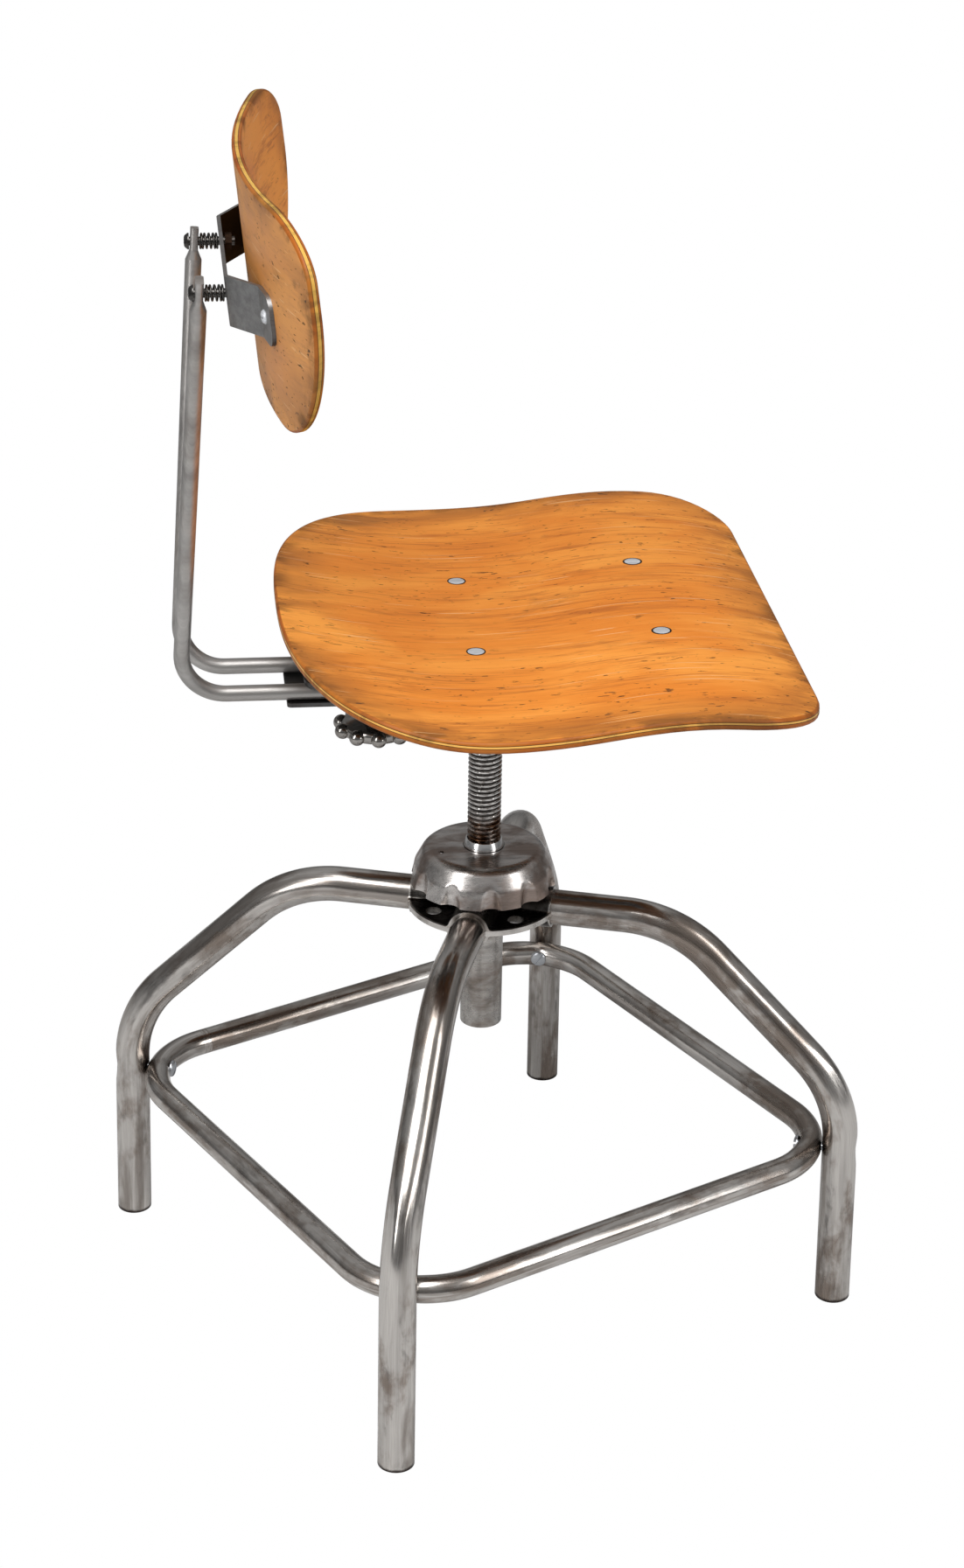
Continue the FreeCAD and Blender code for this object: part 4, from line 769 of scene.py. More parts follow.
def bent_line(corners: Sequence[Vector], bends: Sequence[float], closed: bool,
              step: float = 0.004) -> list[Vector]:
    """Points along straight runs with round bends at the corners.

    Args:
        corners: Corner points.
        bends: Bend radius at each corner, 0 at open ends.
        closed: Whether the line returns to its start.
        step: Distance between points on the bends.

    Returns:
        The points.
    """
    count = len(corners)
    points: list[Vector] = []
    for i, (corner, radius) in enumerate(zip(corners, bends)):
        if radius == 0:
            points.append(corner.copy())
            continue
        points += corner_arc(corners[i - 1], corner, corners[(i + 1) % count], radius, step=step)
    filled: list[Vector] = []
    for a, b in zip(points, points[1:] + (points[:1] if closed else [])):
        gap = (b - a).length
        if gap < 1e-6:
            continue
        parts = max(1, int(gap / (step * 1.6)))
        filled += [a.lerp(b, k / parts) for k in range(parts)]
    if not closed:
        filled.append(points[-1])
    return filled


@dataclass
class Dent:
    """A pressed place in a tube wall."""

    at: Vector
    toward: Vector
    depth: float
    length: float
    width: float


@dataclass
class Sweep:
    """A round tube or bar swept along a line."""

    line: list[Vector]
    radius: float
    wall: float = 0.0
    closed: bool = False
    around: int = 48
    dents: list[Dent] = field(default_factory=list)
    side: Vector = field(default_factory=lambda: Vector((0, 0, 1)))
    dent_limit: float = 0.2
    bore_shown: float = 30.0 * MM

    def rings(self) -> tuple[list[Vector], list[Vector]]:
        """Lays out the corners ring by ring.

        Returns:
            Points, and for each the way round, the way along and 0.
        """
        count = len(self.line)
        points: list[Vector] = []
        runs: list[Vector] = []
        travelled = 0.0
        for i, centre in enumerate(self.line):
            before = self.line[i - 1] if self.closed or i > 0 else centre
            after = self.line[(i + 1) % count] if self.closed or i < count - 1 else centre
            along = (after - before).normalized()
            if i:
                travelled += (centre - self.line[i - 1]).length
            up = (self.side - along * self.side.dot(along)).normalized()
            across = along.cross(up)
            for k in range(self.around):
                turn = 2 * math.pi * k / self.around
                out = across * math.cos(turn) + up * math.sin(turn)
                point = centre + out * self.radius
                for dent in self.dents:
                    facing = out.dot(dent.toward)
                    if facing > self.dent_limit:
                        far = (point - dent.at).dot(along) / dent.length
                        aside = (1 - facing) * self.radius / dent.width
                        point = point - dent.toward * dent.depth * math.exp(-far ** 2 - aside ** 2)
                points.append(point)
                runs.append(Vector((turn * self.radius, travelled, 0)))
        return points, runs

    def build(self, name: str, material: Finish) -> Piece:
        """Makes the tube with its open ends, or a bar where there is no wall.

        Args:
            name: Name of the piece.
            material: Its finish.

        Returns:
            The object.
        """
        points, runs = self.rings()
        rows = len(self.line)
        faces: list[list[int]] = []
        around = self.around
        for i in range(rows if self.closed else rows - 1):
            for k in range(around):
                a, b = i * around + k, i * around + (k + 1) % around
                c, e = ((i + 1) % rows) * around + (k + 1) % around, ((i + 1) % rows) * around + k
                faces.append([a, b, c, e])
        if not self.closed:
            for row, depth in ((0, 1), (rows - 1, -1)):
                first = row * around
                centre = self.line[row]
                if self.wall <= 0:
                    faces.append(list(range(first, first + around)))
                    continue
                inward = (self.line[row + depth] - centre).normalized()
                share = 1 - self.wall / self.radius
                previous = first
                for deep in (0.0, self.bore_shown):
                    start = len(points)
                    for k in range(around):
                        points.append(centre + (points[first + k] - centre) * share + inward * deep)
                        runs.append(runs[first + k])
                    for k in range(around):
                        n = (k + 1) % around
                        faces.append([previous + k, previous + n, start + n, start + k])
                    previous = start
                faces.append(list(range(previous, previous + around)))
        piece = new_piece(name, points, faces, material)
        give_attribute(piece.data, "run", runs, "FLOAT_VECTOR")
        return piece


def in_metres(outline: Sequence[tuple[float, float]]) -> Outline:
    """Returns an outline that was given in millimetres."""
    return [(radius * MM, height * MM) for radius, height in outline]


def lathe(name: str, profile: Outline, material: Finish, around: int = 96,
          place: Optional[Matrix] = None, shape: Optional[Callable[[float, float, float], float]] = None,
          sharp: float = 35.0) -> Piece:
    """Turns a closed profile of (radius, height) pairs in metres.

    Args:
        name: Name of the piece.
        profile: Closed outline; a radius of 0 makes a pole.
        material: Its finish.
        around: Steps round the axis.
        place: Where the turned form is set.
        shape: Changes the radius at an angle and height.
        sharp: Angle past which an edge stays sharp.

    Returns:
        The object.
    """
    points: list[Vector] = []
    index: list[list[int]] = []
    for radius, height in profile:
        if radius <= 1e-7:
            points.append(Vector((0, 0, height)))
            index.append([len(points) - 1] * around)
            continue
        row = []
        for k in range(around):
            turn = 2 * math.pi * k / around
            reach = shape(radius, turn, height) if shape else radius
            points.append(Vector((reach * math.cos(turn), reach * math.sin(turn), height)))
            row.append(len(points) - 1)
        index.append(row)
    faces = []
    for one, two in zip(index, index[1:] + index[:1]):
        for k in range(around):
            n = (k + 1) % around
            corners = []
            for c in (one[k], one[n], two[n], two[k]):
                if c not in corners:
                    corners.append(c)
            if len(corners) > 2:
                faces.append(corners)
    if place is not None:
        points = [place @ p for p in points]
    return new_piece(name, points, faces, material, sharp)


def rounded(points: Outline, radii: Sequence[float],
            parts: int = 6) -> Outline:
    """Rounds the corners of a flat outline.

    Args:
        points: Corners.
        radii: Radius at each corner.
        parts: Steps in each round.

    Returns:
        The outline's points.
    """
    flat = [Vector((*point, 0)) for point in points]
    result: list[Vector] = []
    for i, (corner, radius) in enumerate(zip(flat, radii)):
        after = flat[(i + 1) % len(flat)]
        result += corner_arc(flat[i - 1], corner, after, radius, parts) if radius > 0 else [corner]
    return [(spot.x, spot.y) for spot in result]


def solid_board(name: str, rim_line: Outline, thick: float, edge: float,
                lift: Callable[[float, float, float], Vector], material: Finish,
                rings: int = 26) -> Piece:
    """A bent board with rounded edges over a flat outline.

    Args:
        name: Name of the piece.
        rim_line: Closed outline, anticlockwise.
        thick: Thickness.
        edge: Radius of the edge.
        lift: Gives the place of (across, along, depth below the upper face).
        material: Its finish.
        rings: Rings between the middle and the edge.

    Returns:
        The object, with attributes ply (0 below, 1 above) and rim (metres to the edge).
    """
    count = len(rim_line)
    normals = []
    for i in range(count):
        ax, ay = rim_line[i - 1]
        bx, by = rim_line[(i + 1) % count]
        length = math.hypot(bx - ax, by - ay)
        normals.append(((by - ay) / length, (ax - bx) / length))
    middle = (0.0, sum(p[1] for p in rim_line) / count)
    layers: list[tuple[float, float, float]] = []
    quarter = 5
    for k in range(quarter + 1):
        turn = math.pi / 2 * k / quarter
        layers.append((edge * (1 - math.sin(turn)), edge * (1 - math.cos(turn)), 1.0))
    for k in range(1, 4):
        layers.append((0.0, edge + (thick - 2 * edge) * k / 4, 1.0))
    for k in range(quarter + 1):
        turn = math.pi / 2 * (1 - k / quarter)
        layers.append((edge * (1 - math.sin(turn)), thick - edge * (1 - math.cos(turn)), 1.0))
    crowding, least = 1.35, 0.001
    shares = [1 - (k / rings) ** crowding for k in range(rings, 0, -1)]
    shares = [share for share in shares if share > least]
    plan = [(edge, 0.0, share) for share in shares]
    plan += layers
    plan += [(edge, thick, share) for share in reversed(shares)]
    points: list[Vector] = []
    ply: list[float] = []
    rim: list[float] = []

    def put(x: float, y: float, deep: float, gap: float) -> None:
        """Adds one corner.

        Args:
            x: Distance to the side.
            y: Distance along the board.
            deep: Depth below the upper face.
            gap: Distance to the edge.
        """
        points.append(lift(x, y, deep))
        ply.append(1 - deep / thick)
        rim.append(gap)

    put(middle[0], middle[1], 0.0, 1.0)
    for inset, deep, share in plan:
        for (x, y), (nx, ny) in zip(rim_line, normals):
            ex, ey = x - nx * inset, y - ny * inset
            px = middle[0] + (ex - middle[0]) * share
            py = middle[1] + (ey - middle[1]) * share
            put(px, py, deep, math.hypot(ex - px, ey - py) + inset)
    put(middle[0], middle[1], thick, 1.0)
    faces: list[list[int]] = []
    last = len(points) - 1
    for k in range(count):
        n = (k + 1) % count
        faces.append([0, 1 + k, 1 + n])
        for r in range(len(plan) - 1):
            low, high = 1 + r * count, 1 + (r + 1) * count
            faces.append([low + k, high + k, high + n, low + n])
        base = 1 + (len(plan) - 1) * count
        faces.append([last, base + n, base + k])
    piece = new_piece(name, points, faces, material, 60)
    give_attribute(piece.data, "ply", ply)
    give_attribute(piece.data, "rim", rim)
    return piece


# Geometry node trees


@dataclass
class GeometryTree:
    """A geometry node tree that ends in realized instances and a material."""

    name: str
    tree: bpy.types.NodeTree = field(init=False)
    wires: Wires = field(init=False)
    keys: dict[str, str] = field(default_factory=dict)

    def __post_init__(self) -> None:
        """Starts the tree with a geometry input and output."""
        self.tree = bpy.data.node_groups.new(self.name, "GeometryNodeTree")
        self.tree.interface.new_socket("Geometry", in_out="INPUT", socket_type="NodeSocketGeometry")
        self.tree.interface.new_socket("Geometry", in_out="OUTPUT", socket_type="NodeSocketGeometry")
        self.wires = Wires(self.tree)
        self.entry = self.wires.add("NodeGroupInput")

    def size(self, name: str, kind: str = FLOAT) -> Socket:
        """Adds a named input and returns its socket inside the tree.

        Args:
            name: Name of the input.
            kind: Type of its socket.

        Returns:
            The socket.
        """
        socket = self.tree.interface.new_socket(name, in_out="INPUT", socket_type=kind)
        self.keys[name] = socket.identifier
        return self.entry.outputs[name]

    def close(self, geometry: Socket, smooth: bool = True) -> None:
        """Ends the tree with Realize Instances and Set Material.

        Args:
            geometry: What the tree has made.
            smooth: Whether its faces are smooth.
        """
        material = self.size("Finish", "NodeSocketMaterial")
        real = self.wires.get("GeometryNodeRealizeInstances", {0: geometry})
        soft = self.wires.get("GeometryNodeSetShadeSmooth", {
            "Geometry": real, "Shade Smooth": smooth})
        done = self.wires.get("GeometryNodeSetMaterial", {"Geometry": soft, "Material": material})
        self.wires.add("NodeGroupOutput", {0: done})

    def bake(self, name: str, values: dict[str, Any], seed: Optional[bpy.types.Mesh] = None,
             place: Optional[Matrix] = None, sharp: float = 35.0) -> Piece:
        """Runs the tree and keeps its result as a plain mesh.

        Args:
            name: Name of the piece.
            values: Value of each named input.
            seed: Mesh that goes into the tree.
            place: Where the result is set.
            sharp: Angle past which an edge stays sharp.

        Returns:
            The object.
        """
        carrier = link_object(name + "_carrier", seed or bpy.data.meshes.new(name + "_seed"))
        modifier = carrier.modifiers.new("nodes", "NODES")
        modifier.node_group = self.tree
        for key, value in values.items():
            modifier[self.keys[key]] = value
        carrier.update_tag()
        mesh = evaluated_mesh(carrier)
        carrier.modifiers.remove(modifier)
        bpy.data.objects.remove(carrier)
        mesh.name = name
        build = bmesh.new()
        build.from_mesh(mesh)
        bmesh.ops.remove_doubles(build, verts=build.verts, dist=1e-6)
        holes = [e for e in build.edges if e.is_boundary]
        if holes:
            bmesh.ops.holes_fill(build, edges=holes)
        bmesh.ops.recalc_face_normals(build, faces=build.faces)
        build.to_mesh(mesh)
        build.free()
        mesh.set_sharp_from_angle(angle=math.radians(sharp))
        if place is not None:
            mesh.transform(place)
        return link_object(name, mesh)


def thread_tree() -> GeometryTree:
    """A screw thread: a grid rolled round the axis, its radius follows the pitch.

    Returns:
        The tree with the inputs Radius, Depth, Pitch, Length and Start.
    """
    made = GeometryTree("cut_thread")
    wires = made.wires
    radius, depth, pitch = made.size("Radius"), made.size("Depth"), made.size("Pitch")
    length, start = made.size("Length"), made.size("Start")
    grid = wires.add("GeometryNodeMeshGrid", {
        "Size X": 1.0, "Size Y": 1.0, "Vertices X": 73, "Vertices Y": 841})
    spot = wires.get("GeometryNodeInputPosition")
    split = wires.add("ShaderNodeSeparateXYZ", {0: spot}).outputs
    share = wires.plus(split[0], 0.5)
    turn = wires.times(share, 2 * math.pi)
    height = wires.times(wires.plus(split[1], 0.5), length)
    climb = wires.minus(wires.math("DIVIDE", height, pitch), share)
    phase = wires.math("FRACT", wires.plus(climb, 1000.0))
    away = wires.times(wires.math("ABSOLUTE", wires.minus(phase, 0.5)), 2.0)
    groove = wires.get("ShaderNodeMapRange", {0: away, 1: 0.22, 2: 0.72, 3: 0.0, 4: 1.0})
    end_low = wires.get("ShaderNodeMapRange", {0: height, 1: 0.0, 2: 0.002, 3: 1.0, 4: 0.0})
    groove = wires.most(groove, end_low)
    reach = wires.minus(radius, wires.times(groove, depth))
    x = wires.times(reach, wires.math("COSINE", turn))
    y = wires.times(reach, wires.math("SINE", turn))
    place = wires.get("ShaderNodeCombineXYZ", {0: x, 1: y, 2: wires.plus(height, start)})
    rolled = wires.get("GeometryNodeSetPosition", {"Geometry": grid.outputs[0], "Position": place})
    made.close(rolled)
    return made


def coil_tree() -> GeometryTree:
    """A coil spring on the Z axis with a flattened turn at each end.

    Returns:
        The tree with the inputs Radius, Wire, Length and Turns.
    """
    made = GeometryTree("wound_coil")
    wires = made.wires
    radius, wire = made.size("Radius"), made.size("Wire")
    length, turns = made.size("Length"), made.size("Turns")
    line = wires.get("GeometryNodeCurvePrimitiveLine", {"Start": (0, 0, 0), "End": (0, 0, 1)})
    dense = wires.get("GeometryNodeResampleCurve", {"Curve": line, "Count": 260})
    share = wires.add("GeometryNodeSplineParameter").outputs["Factor"]
    turn = wires.times(wires.times(share, turns), 2 * math.pi)
    low = wires.get("ShaderNodeMapRange", {0: share, 1: 0.10, 2: 0.90},
                    interpolation_type="SMOOTHSTEP")
    blend = wires.plus(wires.times(low, 0.45), wires.times(share, 0.55))
    inner = wires.minus(length, wire)
    height = wires.plus(wires.times(blend, inner), wires.times(wire, 0.5))
    place = wires.get("ShaderNodeCombineXYZ", {
        0: wires.times(radius, wires.math("COSINE", turn)),
        1: wires.times(radius, wires.math("SINE", turn)), 2: height})
    wound = wires.get("GeometryNodeSetPosition", {"Geometry": dense, "Position": place})
    section = wires.add("GeometryNodeCurvePrimitiveCircle", {
        "Resolution": 14, "Radius": wires.times(wire, 0.5)})
    solid = wires.get("GeometryNodeCurveToMesh", {
        "Curve": wound, "Profile Curve": section.outputs[0], "Fill Caps": True})
    made.close(solid)
    return made


def fastener_tree() -> GeometryTree:
    """Sets copies of one fastener on the points of a mesh, turned by their stored aim and spin.

    Returns:
        The tree with the input Fastener.
    """
    made = GeometryTree("set_fasteners")
    wires = made.wires
    pattern = made.size("Fastener", "NodeSocketObject")
    info = wires.add("GeometryNodeObjectInfo", {"Object": pattern, "As Instance": True}).outputs["Geometry"]
    stored = wires.get("GeometryNodeInputNamedAttribute", {"Name": "aim"},
                       data_type="FLOAT_VECTOR")
    spin = wires.get("GeometryNodeInputNamedAttribute", {"Name": "spin"}, data_type="FLOAT")
    aim = wires.get("FunctionNodeAlignRotationToVector", {"Vector": stored}, axis="Z")
    turn = wires.get("FunctionNodeAxisAngleToRotation", {"Axis": (0, 0, 1), "Angle": spin})
    both = wires.get("FunctionNodeRotateRotation", {0: aim, 1: turn}, rotation_space="LOCAL")
    entry = made.entry.outputs["Geometry"]
    points = wires.get("GeometryNodeMeshToPoints", {0: entry})
    placed = wires.get("GeometryNodeInstanceOnPoints", {
        "Points": points, "Instance": info, "Rotation": both})
    made.close(placed)
    return made


@dataclass(frozen=True)
class Spot:
    """Where one fastener sits, which way it points and how it is turned."""

    place: Vector
    aim: Vector
    spin: float = 0.0


def set_fasteners(name: str, pattern: Piece, spots: Sequence[Spot], tree: GeometryTree,
                  finish: Finish) -> Piece:
    """Places a fastener at each spot and makes one mesh of them.

    Args:
        name: Name of the piece.
        pattern: The fastener, on the origin, its head towards +Z. It is removed.
        spots: Where they go.
        tree: The tree that sets them.
        finish: Their finish.

    Returns:
        The object.
    """
    seed = bpy.data.meshes.new(name + "_spots")
    seed.from_pydata([tuple(s.place) for s in spots], [], [])
    give_attribute(seed, "aim", [spot.aim for spot in spots], "FLOAT_VECTOR")
    give_attribute(seed, "spin", [spot.spin for spot in spots])
    piece = tree.bake(name, {"Fastener": pattern, "Finish": finish}, seed)
    bpy.data.objects.remove(pattern)
    return piece


def carve(piece: Piece, cutter: Piece) -> None:
    """Takes one closed form out of another and keeps the result as a plain mesh.

    Args:
        piece: The piece that is cut.
        cutter: The form that is taken out. It is removed.
    """
    cut = piece.modifiers.new("cut", "BOOLEAN")
    cut.object = cutter
    cut.operation = "DIFFERENCE"
    cut.solver = "EXACT"
    mesh = evaluated_mesh(piece)
    piece.modifiers.remove(cut)
    piece.data = mesh
    mesh.set_sharp_from_angle(angle=math.radians(35))
    bpy.data.objects.remove(cutter)


def slotted_screw(name: str, head: float, rise: float, shank: float, length: float, slot: float,
                  finish: Finish) -> Piece:
    """A round slotted screw: its seat at height 0, its head towards +Z.

    Args:
        name: Name of the pattern.
        head: Head radius.
        rise: Head height.
        shank: Shank radius.
        length: Shank length.
        slot: Slot width.
        finish: Its finish.

    Returns:
        The object.
    """
    profile = [(0.0, rise)]
    for k in range(1, 9):
        turn = math.pi / 2 * k / 8
        dome = 0.88 * math.cos(turn) ** 0.8 if k < 8 else 0.0
        profile.append((head * math.sin(turn) ** 0.9, rise * (0.12 + dome)))
    profile += [(head, 0.0), (shank, 0.0), (shank, -length), (0.0, -length)]
    screw = lathe(name, profile, finish, 48)
    depth = rise * 0.8
    box = bmesh.new()
    bmesh.ops.create_cube(box, size=1.0, matrix=Matrix.Translation((0, 0, rise)) @ Matrix.Diagonal(
        (head * 3, slot, depth * 2, 1)))
    cutter_mesh = bpy.data.meshes.new(name + "_slot")
    box.to_mesh(cutter_mesh)
    box.free()
    carve(screw, link_object(name + "_slot", cutter_mesh))
    return screw


# The stool


@dataclass
class Base:
    """Legs, hub, housing tube and footrest."""

    finishes: dict[str, Finish]
    fasteners: GeometryTree
    tube: float = 12.7 * MM
    wall: float = 1.6 * MM
    foot: float = 269.4 * MM
    splay: float = math.tan(math.radians(1.067))
    knee: float = 171.0 * MM
    knee_bend: float = 95.0 * MM
    neck_bend: float = 90.0 * MM
    hub_inset: float = 18.0 * MM
    crease_lean: float = 50.0
    crease_rise: float = 14.0 * MM
    dirt_reach: float = 8.0 * MM
    screw_sunk: float = 1.2 * MM
    screw_spins: tuple[float, ...] = (0.5, 1.1, 0.2, 2.2)
    hub: float = 296.2 * MM
    azimuth: float = 72.2
    ring_height: float = 125.0 * MM
    ring_tube: float = 9.525 * MM
    ring_bend: float = 60.0 * MM

    def at_quarters(self, reach: float) -> list[tuple[Vector, Vector]]:
        """Places at the ring's height, one in line with each leg.

        Args:
            reach: Distance from the post.

        Returns:
            Each place with its way out.
        """
        turns = [math.radians(self.azimuth + 90 * quarter) for quarter in range(4)]
        ways = [Vector((math.cos(turn), math.sin(turn), 0)) for turn in turns]
        return [(way * reach + Vector((0, 0, self.ring_height)), way) for way in ways]

    def leg_at(self, height: float) -> float:
        """Distance of the lower leg from the post at a height."""
        return self.foot - self.splay * height

    @property
    def ring_corner(self) -> float:
        """Distance of the ring's corner line from the post."""
        return self.leg_at(self.ring_height) - self.tube - self.ring_tube

    def build_legs(self) -> None:
        """Sweeps the four legs with their pressed bends."""
        knee = Vector((self.leg_at(self.knee), 0, self.knee))
        neck = Vector((knee.x + knee.z - self.hub, 0, self.hub))
        corners = [Vector((self.foot, 0, 0)), knee, neck, Vector((self.hub_inset, 0, self.hub))]
        for index, name in enumerate(("leg_rear", "leg_right", "leg_front", "leg_left")):
            turn = Matrix.Rotation(math.radians(self.azimuth + 90 * index), 3, "Z")
            line = [turn @ p for p in bent_line(corners, [0, self.knee_bend, self.neck_bend, 0], False)]
            out = turn @ Vector((1, 0, 0))
            mark = out * (self.leg_at(self.ring_height) + self.tube) + Vector((0, 0, self.ring_height))
            dents = [Dent(mark, out, depth=1.2 * MM, length=9 * MM, width=6 * MM)]
            half_turn = math.radians(22.5)
            outward = Vector((math.cos(half_turn), 0, math.sin(half_turn)))
            tangent = Vector((-math.sin(half_turn), 0, math.cos(half_turn)))
            bend_middle = knee - outward * self.knee_bend * (1 / math.cos(half_turn) - 1)
            for lean in (-self.crease_lean, self.crease_lean):
                toward = Matrix.Rotation(math.radians(lean), 3, tangent) @ outward
                at = bend_middle + tangent * self.crease_rise + toward * self.tube
                dents.append(Dent(turn @ at, turn @ toward, depth=2.0 * MM, length=30 * MM, width=1.7 * MM))
            side = turn @ Vector((0, 1, 0))
            swept = Sweep(line, self.tube, self.wall, dents=dents, side=side)
            leg = swept.build(name + "_tube", self.finishes["tube"])
            for vertex in leg.data.vertices:
                vertex.co.z = max(vertex.co.z, 0.0)
            self.soil(leg)
            seat_on(leg, "base", "leg_steel", name)

    def soil(self, piece: Piece) -> None:
        """Stores how much dirt lies round the places where the ring meets the legs.

        Args:
            piece: Swept tube.
        """
        spots = [place for place, way in self.at_quarters(self.ring_corner + self.ring_tube)]
        near = [min((vertex.co - spot).length for spot in spots) for vertex in piece.data.vertices]
        give_attribute(piece.data, "grime", [math.exp(-(gap / self.dirt_reach) ** 2) for gap in near])

    def build_ring(self) -> None:
        """Sweeps the footrest ring, pressed flat on the inner side of each corner."""
        side = self.ring_corner / math.sqrt(2) + self.ring_bend * (1 - math.sqrt(0.5))
        turn = Matrix.Rotation(math.radians(self.azimuth - 45), 3, "Z")
        corners = [turn @ Vector((side * a, side * b, self.ring_height))
                   for a, b in ((1, 1), (-1, 1), (-1, -1), (1, -1))]
        line = bent_line(corners, [self.ring_bend] * 4, True)
        dents = []
        for corner in corners:
            out = Vector((corner.x, corner.y, 0)).normalized()
            at = out * (self.ring_corner - self.ring_tube) + Vector((0, 0, self.ring_height))
            dents.append(Dent(at, -out, depth=1.6 * MM, length=8 * MM, width=7 * MM))
        swept = Sweep(line, self.ring_tube, closed=True, around=40, dents=dents)
        ring = swept.build("footrest_tube", self.finishes["tube"])
        self.soil(ring)
        seat_on(ring, "base", "ring_steel", "footrest_ring")

    def build_screws(self) -> None:
        """Sets the four slotted screws of the ring."""
        places = self.at_quarters(self.ring_corner - self.ring_tube + self.screw_sunk)
        spots = [Spot(seat, -out, spin) for (seat, out), spin in zip(places, self.screw_spins)]
        finish = self.finishes["bolt"]
        pattern = slotted_screw("ring_screw", head=6.2 * MM, rise=3.0 * MM, shank=2.9 * MM,
                                length=30 * MM, slot=1.8 * MM, finish=finish)
        screws = set_fasteners("ring_screws", pattern, spots, self.fasteners, finish)
        seat_on(screws, "base", "bolt_steel", "footrest_screws")

    def build(self) -> None:
        """Builds the base in order."""
        self.build_legs()
        self.build_ring()
        self.build_screws()
        for name in ("hub_top", "hub_bottom"):
            dress(name, self.finishes["hub"])
        dress("housing_tube", self.finishes["sleeve"])
        for name in ("bearing_lower_race", "bearing_balls", "bearing_upper_race"):
            dress(name, self.finishes["frame"])


def dress(node: str, finish: Finish) -> None:
    """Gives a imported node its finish.

    Args:
        node: Name of the node.
        finish: The material.
    """
    piece = frame["nodes"][node]
    piece.data.materials.clear()
    piece.data.materials.append(finish)
    for polygon in piece.data.polygons:
        polygon.material_index = 0
    LOG.info("%s: dressed", node)


